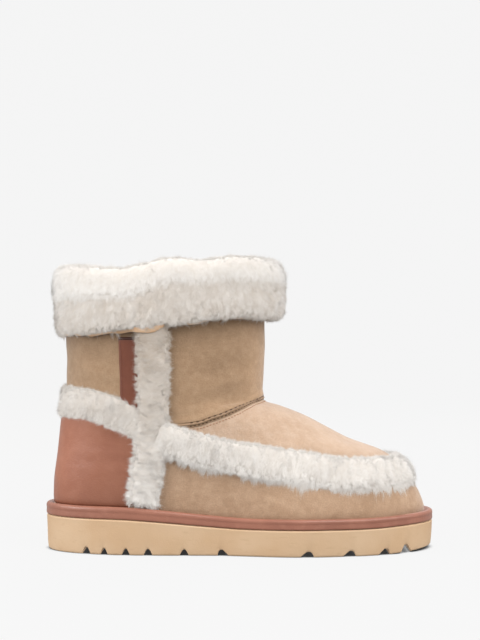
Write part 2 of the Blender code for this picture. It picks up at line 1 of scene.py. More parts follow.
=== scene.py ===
"""Looks of a right ankle boot of suede and sheepskin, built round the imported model.

The surfaces repeat the part's own: a point of the upper has an angle phi round the foot, 0 at the heel's
back, 180 degrees at the toe and below 180 on the outer side (-Y), and a height z. Lengths are in metres.
"""

import math

import bmesh
import bpy
import numpy as np
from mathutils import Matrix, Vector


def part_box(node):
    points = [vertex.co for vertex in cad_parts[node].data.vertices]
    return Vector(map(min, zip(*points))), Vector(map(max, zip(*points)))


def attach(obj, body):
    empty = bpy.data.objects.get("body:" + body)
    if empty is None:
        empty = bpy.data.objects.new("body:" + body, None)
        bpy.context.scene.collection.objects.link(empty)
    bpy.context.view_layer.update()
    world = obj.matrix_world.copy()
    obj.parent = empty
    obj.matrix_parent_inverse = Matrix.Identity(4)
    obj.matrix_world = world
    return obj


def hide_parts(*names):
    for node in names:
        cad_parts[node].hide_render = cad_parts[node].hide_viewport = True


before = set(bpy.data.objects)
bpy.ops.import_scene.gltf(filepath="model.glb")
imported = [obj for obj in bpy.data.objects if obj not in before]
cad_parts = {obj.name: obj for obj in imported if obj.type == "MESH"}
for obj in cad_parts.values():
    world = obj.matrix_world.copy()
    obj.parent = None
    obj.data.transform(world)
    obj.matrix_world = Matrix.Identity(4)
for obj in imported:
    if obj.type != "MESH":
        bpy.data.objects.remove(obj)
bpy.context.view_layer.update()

# The part's sizes.
SOLE_LENGTH = 0.276
WELT_LEDGE = 0.006
BALL_WIDTH = 0.092
SHAFT_LENGTH = 0.1405
SHAFT_WIDTH = 0.088
INSTEP_HEIGHT = 0.0852
SHAFT_RISE = 0.0925
HEEL_LEAN = 0.0103
TOE_SWING = 0.006
WALL = 0.003
GAP = 0.0003
SOLE_HEEL = 0.0245
SOLE_BALL = 0.0183
SOLE_TOE = 0.0198
TOE_SPRING = 0.0024
HEEL_ROLL = 0.0006
GROOVE_DEPTH = 0.0044
WELT_HEIGHT_HEEL = 0.0086
WELT_HEIGHT_TOE = 0.0074
INSOLE_THICKNESS = 0.005
LAP = 0.0014
LEATHER = 0.0013
STRIP_WIDTH = 0.0235
STRIP_HEIGHT = 0.0070
HEEL_PILE = 0.0058
UPRIGHT_WIDTH = 0.0225
TAB_WIDTH = 0.0098
TAB_TOP = 0.131
CUFF_DEPTH = 0.0125
CUFF_TOP = 0.0085
CAD_COLUMNS = 52
TRIM_BASE = 1.9 * GAP

UPPER_LENGTH = SOLE_LENGTH - 2 * WELT_LEDGE
HEEL_X = -UPPER_LENGTH / 2
TOE_X = UPPER_LENGTH / 2
THROAT_Z = SOLE_BALL + INSTEP_HEIGHT
SHAFT_BACK_X = HEEL_X + 0.8 * HEEL_LEAN
SHAFT_FRONT_X = SHAFT_BACK_X + SHAFT_LENGTH

# The upper's level sections, from the sole up, as in the part. Level 0 is the sole's top under the ball,
# 1 the throat and 2 the collar. Reach is 0 at the shaft's front and 1 at the toe.
SECTIONS = """
level  reach  lean  heel  waist_out waist_in ball_out ball_in toe   square shaft
0.000  1.000  0.10  1.02  0.83      0.74     1.09     1.02    1.19  2.50   0
0.114  0.998  0.12  1.03  0.85      0.76     1.10     1.03    1.20  2.50   0
0.231  0.972  0.14  1.04  0.87      0.79     1.10     1.04    1.20  2.50   0
0.349  0.915  0.18  1.04  0.89      0.83     1.08     1.03    1.18  2.48   0
0.454  0.858  0.28  1.04  0.91      0.87     1.05     1.01    1.15  2.45   0
0.536  0.800  0.37  1.03  0.92      0.89     1.02     0.99    1.11  2.40   0
0.595  0.740  0.43  1.03  0.93      0.90     1.00     0.97    1.07  2.35   0
0.654  0.645  0.48  1.02  0.93      0.91     0.98     0.96    1.02  2.25   0
0.716  0.522  0.54  1.02  0.93      0.92     0.96     0.95    0.97  2.15   0.1
0.806  0.376  0.62  1.02  0.94      0.93     0.95     0.94    0.93  2.08   0.3
0.900  0.225  0.72  1.02  0.95      0.95     0.95     0.94    0.91  2.05   0.6
0.959  0.104  0.80  1.02  0.96      0.96     0.96     0.95    0.91  2.05   0.8
0.996  0.016  0.85  1.02  0.97      0.97     0.97     0.96    0.93  2.05   1
1.020 -0.003  0.88  1.01  0.97      0.97     0.97     0.96    0.94  2.05   1
1.092 -0.006  0.95  1.00  0.97      0.97     0.97     0.96    0.95  2.10   1
1.178 -0.002  1.00  0.99  0.97      0.97     0.97     0.97    0.97  2.15   1
1.297  0.002  0.99  0.99  0.98      0.98     0.98     0.98    0.98  2.18   1
1.449  0.008  0.93  1.00  0.99      0.99     0.99     0.99    0.99  2.20   1
1.568  0.008  0.88  1.01  1.00      1.00     1.00     1.00    1.00  2.20   1
2.000  0.008  0.80  1.02  1.02      1.02     1.02     1.02    1.01  2.20   1
"""
STATIONS = (0.0, 0.42, 0.70, 1.0)

# Lines over the outer side. Along is a share of the upper's length, from the heel.
REAR_LINE = """
along  level
0.000  1.006
0.095  1.000
0.160  0.950
0.209  0.880
0.250  0.818
"""
FRONT_LINE = """
along  level
0.290  0.745
0.405  0.632
0.500  0.582
0.625  0.532
0.727  0.482
0.795  0.457
0.885  0.452
0.926  0.450
1.000  0.450
"""
UPRIGHT_LINE = """
along  level
0.262  1.700
0.266  1.290
0.268  1.020
0.265  0.815
0.256  0.560
0.240  0.190
"""
SEAM_LINE = """
along  level
0.000  1.004
0.200  0.930
0.290  0.812
0.340  0.806
0.3655 0.812
0.400  0.828
0.4295 0.859
0.459  0.887
0.496  0.931
0.534  0.981
0.562  1.010
"""

# The notches across the sole's underside. Lean is how far a notch's top stands off its middle.
GROOVES = """
along  width   lean   depth
0.101  0.0060  0.000  1.06
0.148  0.0052  0.000  1.00
0.205  0.0056  0.000  0.98
0.263  0.0062  0.000  0.97
0.357  0.0063  0.000  0.92
0.458  0.0078  -0.001 0.90
0.675  0.0096  0.001  0.85
0.785  0.0090  0.001  0.85
0.877  0.0078  0.001  0.90
0.936  0.0070  0.000  1.15
"""
GROOVE_ROOF = 0.42  # the round top's share of a notch's width
GROOVE_SHOULDER = 1.25

# The cuff's edges above the sole under the ball, and its pile's share of CUFF_DEPTH.
CUFF_LINES = """
along  bottom  top     depth
0.000  0.1355  0.1822  0.64
0.100  0.1385  0.1822  0.76
0.220  0.1425  0.1825  0.92
0.330  0.1445  0.1865  1.00
0.420  0.1455  0.1885  1.00
0.700  0.1465  0.1885  0.98
0.900  0.1450  0.1870  0.98
1.000  0.1440  0.1855  0.98
"""
CUFF_LINES_FOR = 0.1777  # the boot's height above the sole that they were measured at

# Soft troughs in the suede, each between two places on the outer (-1) or inner (1) side, or both (0).
CREASES = """
side along_a level_a along_b level_b depth   width
0    0.500   1.130   0.410   1.020   0.0006  0.0050
0    0.515   1.300   0.400   1.210   0.0005  0.0070
0    0.060   1.180   0.200   1.130   0.0005  0.0055
0    0.040   1.340   0.190   1.300   0.0004  0.0070
0    0.430   0.800   0.540   0.700   0.0004  0.0060
0    0.640   0.640   0.740   0.560   0.0004  0.0050
-1   0.380   1.420   0.420   1.100   0.0004  0.0090
0    0.560   0.330   0.660   0.200   0.0004  0.0070
0    0.760   0.300   0.860   0.180   0.0004  0.0060
"""


def table(text):
    """The columns of a table as arrays by name."""
    rows = [line.split() for line in text.strip().splitlines()]
    values = np.array(rows[1:], float)
    return {name: values[:, i] for i, name in enumerate(rows[0])}


def named_rows(text):
    """The rows of a table by their first word, each as numbers by column."""
    head, *rows = (line.split() for line in text.strip().splitlines())
    return {row[0]: dict(zip(head[1:], map(float, row[1:]))) for row in rows}


def smooth(xs, ys, x):
    """Monotone cubic through the points (xs, ys), level past both ends."""
    x = np.clip(x, xs[0], xs[-1])
    step = np.diff(xs)
    rise = np.diff(ys) / step
    slope = np.zeros(len(xs))
    slope[0], slope[-1] = rise[0], rise[-1]
    same_way = rise[:-1] * rise[1:] > 0
    before, after = step[:-1] + 2 * step[1:], 2 * step[:-1] + step[1:]
    with np.errstate(divide="ignore", invalid="ignore"):
        mean = (before + after) / (before / rise[:-1] + after / rise[1:])
    slope[1:-1] = np.where(same_way, mean, 0.0)
    i = np.clip(np.searchsorted(xs, x, side="right") - 1, 0, len(xs) - 2)
    h = step[i]
    t = (x - xs[i]) / h
    return (
        ys[i] * (1 + 2 * t) * (1 - t) ** 2
        + slope[i] * h * t * (1 - t) ** 2
        + ys[i + 1] * t * t * (3 - 2 * t)
        + slope[i + 1] * h * t * t * (t - 1)
    )


def ease(low, high, x):
    """0 below low, 1 above high, and smooth between them."""
    t = np.clip((x - low) / (high - low), 0, 1)
    return t * t * (3 - 2 * t)


def hump(rise_from, rise_to, fall_from, fall_to, x):
    """0 outside, and 1 between rise_to and fall_from."""
    return ease(rise_from, rise_to, x) * (1 - ease(fall_from, fall_to, x))


sections = table(SECTIONS)


def column(name, z):
    below = (z - SOLE_BALL) / INSTEP_HEIGHT
    above = 1 + (z - THROAT_Z) / SHAFT_RISE
    return smooth(sections["level"], sections[name], np.where(z < THROAT_Z, below, above))


def height(level):
    level = np.asarray(level, float)
    return np.where(level < 1, SOLE_BALL + INSTEP_HEIGHT * level, THROAT_Z + SHAFT_RISE * (level - 1))


def along_x(share):
    return HEEL_X + UPPER_LENGTH * np.asarray(share, float)


def ends(z):
    back = HEEL_X + HEEL_LEAN * column("lean", z)
    front = SHAFT_FRONT_X + (TOE_X - SHAFT_FRONT_X) * column("reach", z)
    return back, front


def swing(x):
    return TOE_SWING * np.clip(x / TOE_X, 0, 2) ** 2


def blend_stations(s, values):
    out = values[0]
    for i in range(1, len(STATIONS)):
        out = out + (values[i] - values[i - 1]) * ease(STATIONS[i - 1], STATIONS[i], s)
    return out


def skin(phi, z):
    """Points on the upper's outer surface."""
    phi, z = np.broadcast_arrays(np.asarray(phi, float), np.asarray(z, float))
    outer = np.sin(phi) >= 0
    s = (1 - np.cos(phi)) / 2
    back, front = ends(z)
    shaft = column("shaft", z)
    breadths = [
        column("heel", z),
        np.where(outer, column("waist_out", z), column("waist_in", z)),
        np.where(outer, column("ball_out", z), column("ball_in", z)),
        column("toe", z),
    ]
    breadth = blend_stations(s, breadths)
    breadth = breadth * (BALL_WIDTH * (1 - shaft) + SHAFT_WIDTH * shaft) / 2
    oval = np.sqrt(np.clip(1 - np.abs(2 * s - 1) ** column("square", z), 0, 1))
    x = back + (front - back) * s
    y = np.where(outer, -1, 1) * breadth * oval + swing(x)
    return np.stack([x, y, z], -1)


STEP_PHI = 1e-4
STEP_Z = 1e-5


def slopes(phi, z):
    by_phi = (skin(phi + STEP_PHI, z) - skin(phi - STEP_PHI, z)) / (2 * STEP_PHI)
    by_z = (skin(phi, z + STEP_Z) - skin(phi, z - STEP_Z)) / (2 * STEP_Z)
    return by_phi, by_z


def unit(v):
    return v / (np.linalg.norm(v, axis=-1, keepdims=True) + 1e-12)


def normal(phi, z):
    return unit(np.cross(*slopes(phi, z)))


def off_skin(phi, z, offset):
    """Points at a distance from the upper's outer surface, outwards if positive."""
    phi, z, offset = np.broadcast_arrays(phi, z, offset)
    return skin(phi, z) + normal(phi, z) * offset[..., None]


def phi_at(x, z):
    back, front = ends(z)
    return np.arccos(np.clip(1 - 2 * (x - back) / (front - back), -1, 1))


def line_on_side(text):
    t = table(text)
    rows = np.arange(len(t["along"]), dtype=float)
    fine = np.linspace(0, rows[-1], 10 * len(rows))
    return along_x(smooth(rows, t["along"], fine)), height(smooth(rows, t["level"], fine))


def along_side(text):
    x, z = line_on_side(text)
    return phi_at(x, z), z


def sole_top(x):
    heel = SOLE_HEEL + (SOLE_BALL - SOLE_HEEL) * ease(along_x(0.15), along_x(0.55), x)
    return heel + (SOLE_TOE - SOLE_BALL) * ease(along_x(0.80), along_x(1.02), x)


def sole_bottom(x):
    toe = np.clip((x - along_x(0.84)) / (along_x(1.02) - along_x(0.84)), 0, None) ** 2
    heel = np.clip((along_x(0.03) - x) / (0.05 * UPPER_LENGTH), 0, None) ** 2
    return TOE_SPRING * toe + HEEL_ROLL * heel


def feather_z(phi):
    z = np.full(np.shape(phi), SOLE_HEEL)
    for _ in range(4):
        z = sole_top(skin(phi, z)[..., 0])
    return z


def outline(phi, offset):
    """The upper's outline at the sole, seen from above, moved outwards by offset."""
    here = skin(phi, SOLE_HEEL)
    by_phi, _ = slopes(phi, SOLE_HEEL)
    out = unit(np.stack([by_phi[..., 1], -by_phi[..., 0]], -1))
    return here[..., :2] + out * np.asarray(offset)[..., None]


def welt_top(x):
    rise = WELT_HEIGHT_HEEL + (WELT_HEIGHT_TOE - WELT_HEIGHT_HEEL) * ease(along_x(0.2), along_x(0.6), x)
    return sole_top(x) + rise


def seam_z(phi):
    side_phi, side_z = along_side(SEAM_LINE)
    return np.interp(np.arccos(np.cos(phi)), side_phi, side_z)


def cuff_column(name, phi):
    t = table(CUFF_LINES)
    return smooth(t["along"], t[name], (1 - np.cos(phi)) / 2)


def cuff_line(name, phi):
    return SOLE_BALL + cuff_column(name, phi) * (INSTEP_HEIGHT + SHAFT_RISE) / CUFF_LINES_FOR


def walk(phi, z, heading, distance, steps=6):
    """Moves each point over the surface by a distance along its heading."""
    for _ in range(steps):
        by_phi, by_z = slopes(phi, z)
        a = (by_phi * by_phi).sum(-1)
        b = (by_phi * by_z).sum(-1)
        c = (by_z * by_z).sum(-1)
        p, q = (heading * by_phi).sum(-1), (heading * by_z).sum(-1)
        det = a * c - b * b
        go_phi, go_z = (c * p - b * q) / det, (a * q - b * p) / det
        speed = np.linalg.norm(by_phi * go_phi[..., None] + by_z * go_z[..., None], axis=-1)
        phi = phi + go_phi * distance / steps / speed
        z = z + go_z * distance / steps / speed
    return phi, z


def resample(phi, z, count):
    walked = np.concatenate([[0], np.cumsum(np.linalg.norm(np.diff(skin(phi, z), axis=0), axis=1))])
    even = np.linspace(0, walked[-1], count)
    return np.interp(even, walked, phi), np.interp(even, walked, z)


def ribbon(phi, z, shares, width):
    """Phi and z of lines beside a line over the surface, at shares of half the width."""
    points = skin(phi, z)
    heading = unit(np.gradient(points, axis=0))
    sideways = np.cross(normal(phi, z), heading)
    lines = [walk(phi, z, sideways, share * width / 2) for share in shares]
    return np.stack([line[0] for line in lines]), np.stack([line[1] for line in lines])


def front_line():
    phi, z = along_side(FRONT_LINE)
    return np.concatenate([phi, 2 * np.pi - phi[-2::-1]]), np.concatenate([z, z[-2::-1]])


def rear_line():
    phi, z = along_side(REAR_LINE)
    return np.concatenate([-phi[:0:-1], phi]), np.concatenate([z[:0:-1], z])


def upright_line(inner):
    x, z = line_on_side(UPRIGHT_LINE)
    hem = cuff_line("bottom", phi_at(x[0], z[0]))
    foot = welt_top(along_x(0.24)) + 5 * GAP
    z = foot + (hem - foot) * (z - z[-1]) / (z[0] - z[-1])
    phi = phi_at(x, z)
    return (2 * np.pi - phi if inner else phi), z


def upright_edge(z, width):
    """Phi of the outer upright's rear edge at height z."""
    phi, line_z = resample(*upright_line(False), 21)
    edge_phi, edge_z = ribbon(phi, line_z, [-1.0], width)
    order = np.argsort(edge_z[0])
    return np.interp(z, edge_z[0][order], edge_phi[0][order])


def heel_edge(phi, share, width):
    """Height of the heel trim's upper or lower edge at phi."""
    line_phi, line_z = resample(*rear_line(), 41)
    edge_phi, edge_z = ribbon(line_phi, line_z, [share], width)
    order = np.argsort(edge_phi[0])
    return np.interp(phi, edge_phi[0][order], edge_z[0][order])


def cuff_point(phi, z, out):
    """A point level with z, outwards from the shaft's skin by out."""
    by_phi, _ = slopes(phi, z)
    level = unit(np.stack([by_phi[..., 1], -by_phi[..., 0], np.zeros_like(by_phi[..., 0])], -1))
    return skin(phi, z) + level * np.asarray(out)[..., None]


def turn(count):
    return np.arange(count) * 2 * np.pi / count


def model_shift():
    """From the shared surface's origin to the model's, read off the welt."""
    phi = turn(CAD_COLUMNS)
    ring = outline(phi, GAP + (WELT_LEDGE - GAP) * 1.04)
    low, high = (np.array(corner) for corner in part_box("welt"))
    middle = (ring.min(0) + ring.max(0)) / 2
    xs = outline(phi, np.full(CAD_COLUMNS, WELT_LEDGE / 2))[:, 0]
    return np.array([*((low + high)[:2] / 2 - middle), low[2] - (sole_top(xs) + GAP).min()])


SHIFT = model_shift()


# Noise and sheets


def lattice(shape, seed):
    return np.random.default_rng(seed).uniform(-1, 1, shape)


def noise2(u, v, seed, wrap=0):
    """Smooth noise of two coordinates in cells of 1, which repeats every wrap cells of u if that is set."""
    size = 256
    values = lattice((size, size), seed)
    iu, iv = np.floor(u).astype(int), np.floor(v).astype(int)
    fu, fv = u - iu, v - iv
    fu, fv = fu * fu * (3 - 2 * fu), fv * fv * (3 - 2 * fv)
    next_u = iu + 1
    if wrap:
        iu, next_u = iu % wrap, next_u % wrap
    iu, next_u, iv, next_v = iu % size, next_u % size, iv % size, (iv + 1) % size
    low = values[iu, iv] * (1 - fu) + values[next_u, iv] * fu
    high = values[iu, next_v] * (1 - fu) + values[next_u, next_v] * fu
    return low * (1 - fv) + high * fv


def noise3(p, cell, seed):
    """Smooth noise in space, of about -1 to 1, with features of the cell's size."""
    q = p / cell
    size = 64
    values = lattice((size, size, size), seed)
    i = np.floor(q).astype(int)
    f = q - i
    f = f * f * (3 - 2 * f)
    out = 0
    for dx in (0, 1):
        for dy in (0, 1):
            for dz in (0, 1):
                weight = (
                    (f[..., 0] if dx else 1 - f[..., 0])
                    * (f[..., 1] if dy else 1 - f[..., 1])
                    * (f[..., 2] if dz else 1 - f[..., 2])
                )
                x, y, z = (i[..., 0] + dx) % size, (i[..., 1] + dy) % size, (i[..., 2] + dz) % size
                out = out + values[x, y, z] * weight
    return out


def finish_piece(made, material, nodes=()):
    """Gives a piece its material and body, and hides the solids that it stands for."""
    made.data.materials.append(material)
    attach(made, "root")
    if nodes:
        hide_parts(*nodes)
    return made


def add_mesh(name, points, quads, triangles=None):
    """A mesh object from arrays, moved into the model's frame."""
    points = np.ascontiguousarray(np.asarray(points).reshape(-1, 3) + SHIFT, dtype=np.float32)
    groups = [g for g in (quads, triangles) if g is not None and len(g)]
    corners = np.concatenate([np.asarray(g, np.int32).ravel() for g in groups])
    sizes = np.concatenate([np.full(len(g), np.shape(g)[1], np.int32) for g in groups])
    starts = np.concatenate([[0], np.cumsum(sizes)[:-1]]).astype(np.int32)
    mesh = bpy.data.meshes.new(name)
    mesh.vertices.add(len(points))
    mesh.vertices.foreach_set("co", points.ravel())
    mesh.loops.add(len(corners))
    mesh.loops.foreach_set("vertex_index", corners)
    mesh.polygons.add(len(sizes))
    mesh.polygons.foreach_set("loop_start", starts)
    mesh.update(calc_edges=True)
    mesh.validate()
    mesh.shade_smooth()
    made = bpy.data.objects.new(name, mesh)
    bpy.context.scene.collection.objects.link(made)
    return made


def grid_quads(rows, columns, round_rows=False, round_columns=False):
    """Quads of a grid of points, rows by columns, each way closed into a ring or not."""
    i = np.arange(rows if round_rows else rows - 1)
    j = np.arange(columns if round_columns else columns - 1)
    i, j = (a.ravel() for a in np.meshgrid(i, j, indexing="ij"))
    k, m = (i + 1) % rows, (j + 1) % columns
    return np.stack([i * columns + j, i * columns + m, k * columns + m, k * columns + j], 1)


def set_attribute(made, name, values):
    values = np.asarray(values, np.float32).ravel()
    made.data.attributes.new(name, "FLOAT", "POINT").data.foreach_set("value", values)


def rework(made, work):
    """Changes a mesh by a function of its bmesh, and turns its faces outwards."""
    edit = bmesh.new()
    edit.from_mesh(made.data)
    work(edit)
    bmesh.ops.recalc_face_normals(edit, faces=edit.faces)
    edit.to_mesh(made.data)
    edit.free()


# Materials


def rgb(red, green, blue):
    """A colour given as it looks on a screen, 0 to 255, as the shader takes it."""
    out = []
    for value in (red, green, blue):
        v = value / 255
        out.append(v / 12.92 if v <= 0.04045 else ((v + 0.055) / 1.055) ** 2.4)
    return (*out, 1.0)


class Shader:
    """A material's node tree with short ways to add to it."""

    def __init__(self, name, roughness):
        self.material = bpy.data.materials.new(name)
        self.material.use_nodes = True
        self.nodes = self.material.node_tree.nodes
        self.links = self.material.node_tree.links
        self.bsdf = self.nodes["Principled BSDF"]
        self.bsdf.inputs["Roughness"].default_value = roughness
        self.place = self.nodes.new("ShaderNodeTexCoord").outputs["Object"]

    def set(self, **values):
        for name, value in values.items():
            self.bsdf.inputs[name.replace("_", " ")].default_value = value
        return self

    def noise(self, cell, detail=2.0, stretch=None):
        """Noise with features of a given size in metres."""
        source = self.place
        if stretch is not None:
            mapping = self.nodes.new("ShaderNodeMapping")
            mapping.inputs["Scale"].default_value = stretch
            self.links.new(source, mapping.inputs["Vector"])
            source = mapping.outputs["Vector"]
        node = self.nodes.new("ShaderNodeTexNoise")
        node.inputs["Scale"].default_value = 1 / cell
        node.inputs["Detail"].default_value = detail
        self.links.new(source, node.inputs["Vector"])
        return node.outputs["Fac"]

    def cells(self, cell):
        node = self.nodes.new("ShaderNodeTexVoronoi")
        node.inputs["Scale"].default_value = 1 / cell
        self.links.new(self.place, node.inputs["Vector"])
        return node.outputs["Distance"]

    def attribute(self, name):
        node = self.nodes.new("ShaderNodeAttribute")
        node.attribute_name = name
        return node.outputs["Fac"]

    def ramp(self, value, low, high, start=0.0, end=1.0):
        node = self.nodes.new("ShaderNodeMapRange")
        node.inputs["From Min"].default_value = low
        node.inputs["From Max"].default_value = high
        node.inputs["To Min"].default_value = start
        node.inputs["To Max"].default_value = end
        self.links.new(value, node.inputs["Value"])
        return node.outputs["Result"]

    def math(self, operation, a, b):
        node = self.nodes.new("ShaderNodeMath")
        node.operation = operation
        for socket, value in zip(node.inputs, (a, b)):
            if isinstance(value, (int, float)):
                socket.default_value = value
            else:
                self.links.new(value, socket)
        return node.outputs["Value"]

    def mix(self, factor, a, b, blend="MIX"):
        node = self.nodes.new("ShaderNodeMix")
        node.data_type = "RGBA"
        node.blend_type = blend
        pairs = ((node.inputs["Factor"], factor), (node.inputs[6], a), (node.inputs[7], b))
        for socket, value in pairs:
            if isinstance(value, (int, float, tuple)):
                socket.default_value = value
            else:
                self.links.new(value, socket)
        return node.outputs[2]

    def colour(self, value):
        if isinstance(value, tuple):
            self.bsdf.inputs["Base Color"].default_value = value
        else:
            self.links.new(value, self.bsdf.inputs["Base Color"])
        return self

    def rough(self, value):
        self.links.new(value, self.bsdf.inputs["Roughness"])
        return self

    def bump(self, *layers):
        """Bump from layers of (height, depth in metres), each over the last."""
        before = None
        for value, depth in layers:
            node = self.nodes.new("ShaderNodeBump")
            node.inputs["Distance"].default_value = depth
            self.links.new(value, node.inputs["Height"])
            if before is not None:
                self.links.new(before, node.inputs["Normal"])
            before = node.outputs["Normal"]
        self.links.new(before, self.bsdf.inputs["Normal"])
        return self


def suede(name, colour, dark, light, shaded=True):
    """Napped suede: mottled, brushed in patches, with a fuzzy sheen."""
    s = Shader(name, 0.92)
    patches = s.ramp(s.noise(0.016, 3.0), 0.35, 0.65)
    base = s.mix(patches, dark, colour)
    brushed = s.ramp(s.noise(0.0045, 4.0, (0.8, 1.0, 1.0)), 0.42, 0.68)
    base = s.mix(s.math("MULTIPLY", brushed, 0.55), base, light)
    fibres = s.ramp(s.noise(0.0007, 3.0), 0.3, 0.7, 0.86, 1.08)
    base = s.mix(1.0, base, fibres, "MULTIPLY")
    # Painted shade, from the piece's shade attribute.
    if shaded:
        base = s.mix(1.0, base, s.attribute("shade"), "MULTIPLY")
    s.colour(base).set(Sheen_Weight=0.35, Sheen_Roughness=0.45, Specular_IOR_Level=0.25)
    s.bump((s.noise(0.0040, 3.0), 0.0003), (s.noise(0.0009, 3.0), 0.00022), (s.noise(0.00035, 2.0), 0.0001))
    return s.material


def leather(name, colour, dark, light, roughness, shaded=False):
    """Smooth leather with a fine pebble, soft wear and a thin coat."""
    s = Shader(name, roughness)
    patches = s.ramp(s.noise(0.020, 3.0), 0.35, 0.68)
    base = s.mix(patches, dark, colour)
    wear_and_painted_light = s.ramp(s.noise(0.006, 5.0), 0.5, 0.75)
    base = s.mix(s.math("MULTIPLY", wear_and_painted_light, 0.35), base, light)
    # Painted shade, from the piece's shade attribute; only the heel counter has one.
    if shaded:
        base = s.mix(1.0, base, s.attribute("shade"), "MULTIPLY")
    s.colour(base).set(Coat_Weight=0.12, Coat_Roughness=0.35, Specular_IOR_Level=0.4)
    s.rough(s.ramp(s.noise(0.008, 4.0), 0.3, 0.7, roughness - 0.06, roughness + 0.10))
    s.bump((s.noise(0.010, 3.0), 0.0004), (s.cells(0.0011), 0.00006), (s.noise(0.0005, 2.0), 0.00003))
    return s.material


WOOL_SHEEN = 0.95
SHEEN_SPREAD = 0.45


def wool(name, root, tip, shade_grey):
    """Sheepskin: strands darker at the root, painted shade deep in the pile, and nearer to the shade grey the
    lower their tone, which holds painted shade.
    """
    s = Shader(name, 0.85)
    base = s.mix(s.attribute("tip"), root, tip)
    base = s.mix(s.ramp(s.attribute("tone"), 1.0, 0.0), base, shade_grey)
    s.colour(base).set(Specular_IOR_Level=0.0, Sheen_Weight=WOOL_SHEEN, Sheen_Roughness=SHEEN_SPREAD)
    return s.material


def fleece(name, colour, dark, shade_grey, tufted):
    """Felted wool, nearer to the shade grey the more its dim attribute paints shade on it. Strands stand on
    it where it isn't tufted itself.
    """
    s = Shader(name, 0.95)
    base = s.mix(s.ramp(s.noise(0.0035, 4.0), 0.35, 0.65), dark, colour)
    base = s.mix(s.attribute("dim"), base, shade_grey)
    s.colour(base).set(Specular_IOR_Level=0.0, Sheen_Weight=WOOL_SHEEN, Sheen_Roughness=SHEEN_SPREAD)
    s.bump((s.noise(0.0030, 4.0), 0.0010 * tufted), (s.noise(0.0009, 3.0), 0.0006 * tufted))
    return s.material


def foam(name, colour, dark, light):
    """Moulded foam rubber, faintly mottled, with scuffs."""
    s = Shader(name, 0.62)
    base = s.mix(s.ramp(s.noise(0.030, 2.0), 0.35, 0.65), colour, light)
    scuff = s.ramp(s.noise(0.004, 6.0, (0.4, 1.0, 1.6)), 0.60, 0.78)
    base = s.mix(s.math("MULTIPLY", scuff, 0.35), base, dark)
    s.colour(base).set(Specular_IOR_Level=0.35)
    s.rough(s.ramp(s.noise(0.010, 4.0), 0.3, 0.7, 0.52, 0.72))
    s.bump((s.noise(0.0060, 3.0), 0.0002), (s.cells(0.0008), 0.00005))
    return s.material


SUEDE_SHAFT = suede("suede_shaft", rgb(164, 134, 105), rgb(155, 126, 98), rgb(175, 146, 117))
SUEDE_SIDE = suede("suede_side", rgb(185, 153, 125), rgb(175, 143, 115), rgb(196, 165, 137))
SUEDE_VAMP = suede("suede_vamp", rgb(187, 160, 137), rgb(179, 151, 127), rgb(194, 169, 148))
COUNTER = leather("counter_leather", rgb(162, 105, 81), rgb(154, 97, 74), rgb(174, 117, 93), 0.40, True)
TAB = leather("tab_leather", rgb(113, 62, 42), rgb(103, 54, 36), rgb(125, 72, 51), 0.45)
# The colour of the painted shadow along each tab's upper edge.
TAB_EDGE_SHADOW = leather("tab_hem_leather", rgb(70, 40, 30), rgb(62, 34, 25), rgb(80, 47, 36), 0.5)
WELT = leather("welt_leather", rgb(154, 102, 83), rgb(144, 94, 76), rgb(168, 116, 97), 0.36)
SOLE = foam("foam_rubber", rgb(198, 165, 130), rgb(176, 144, 111), rgb(205, 175, 142))
# The grey that painted shade on the wool and its ground goes towards; on the cuff's lower half it also
# carries the cut hair's own greyer tone.
WOOL_SHADE_GREY = rgb(146, 126, 104)
WOOL = wool("wool", rgb(209, 205, 199), rgb(220, 218, 215), WOOL_SHADE_GREY)
GROUND = fleece("wool_ground", rgb(214, 209, 203), rgb(206, 200, 193), WOOL_SHADE_GREY, 0.3)
LINING = fleece("lining_fleece", rgb(216, 207, 197), rgb(200, 190, 178), WOOL_SHADE_GREY, 1.0)
HIDE_EDGE = suede("hide_edge", rgb(222, 184, 147), rgb(212, 172, 134), rgb(232, 200, 168), shaded=False)
THREAD_DARK = Shader("thread_dark", 0.8).colour(rgb(72, 50, 33)).material
THREAD_PEACH = Shader("thread_peach", 0.8).colour(rgb(156, 118, 90)).material
THREAD_TAB = Shader("thread_tab", 0.75).colour(rgb(112, 66, 52)).material


# Suede panels


def crease_depth(points):
    """How far the creases sink or lift the suede at each point."""
    t = table(CREASES)
    out = np.zeros(points.shape[:-1])
    for i in range(len(t["side"])):
        for way in (-1, 1):
            if t["side"][i] == -way:
                continue
            tips = []
            for end in ("a", "b"):
                z = height(t["level_" + end][i])
                phi = phi_at(along_x(t["along_" + end][i]), z)
                tips.append(skin(phi if way < 0 else 2 * np.pi - phi, z))
            run = tips[1] - tips[0]
            share = np.clip(((points - tips[0]) @ run) / (run @ run), 0, 1)
            away = np.linalg.norm(points - (tips[0] + share[..., None] * run), axis=-1)
            width = t["width"][i]
            fade = np.sin(np.pi * (0.12 + 0.76 * share))
            trough = np.exp(-((away / width) ** 2))
            ridge = np.exp(-(((away - 1.7 * width) / width) ** 2))
            out += t["depth"][i] * fade * (0.55 * ridge - trough)
    return out


def waves(points):
    """The slack of worn suede: broad, shallow swells."""
    return 0.0005 * noise3(points, 0.030, 11) + 0.00022 * noise3(points, 0.012, 12)


def vamp_dip(points):
    """The vamp sags a little between the throat and the toe."""
    along = np.exp(-(((points[..., 0] - along_x(0.82)) / 0.020) ** 2))
    return -0.0018 * along * np.exp(-((points[..., 1] / 0.026) ** 4)) * ease(0.040, 0.052, points[..., 2])


def strip_edge(line, z_or_phi, share, by_phi):
    """The place of a strip's edge, at a share of its half width: z for given phi, or phi for given z."""
    edge_phi, edge_z = ribbon(*resample(*line, 61), [share], STRIP_WIDTH)
    known, wanted = (edge_phi[0], edge_z[0]) if by_phi else (edge_z[0], edge_phi[0])
    order = np.argsort(known)
    return np.interp(z_or_phi, known[order], wanted[order])
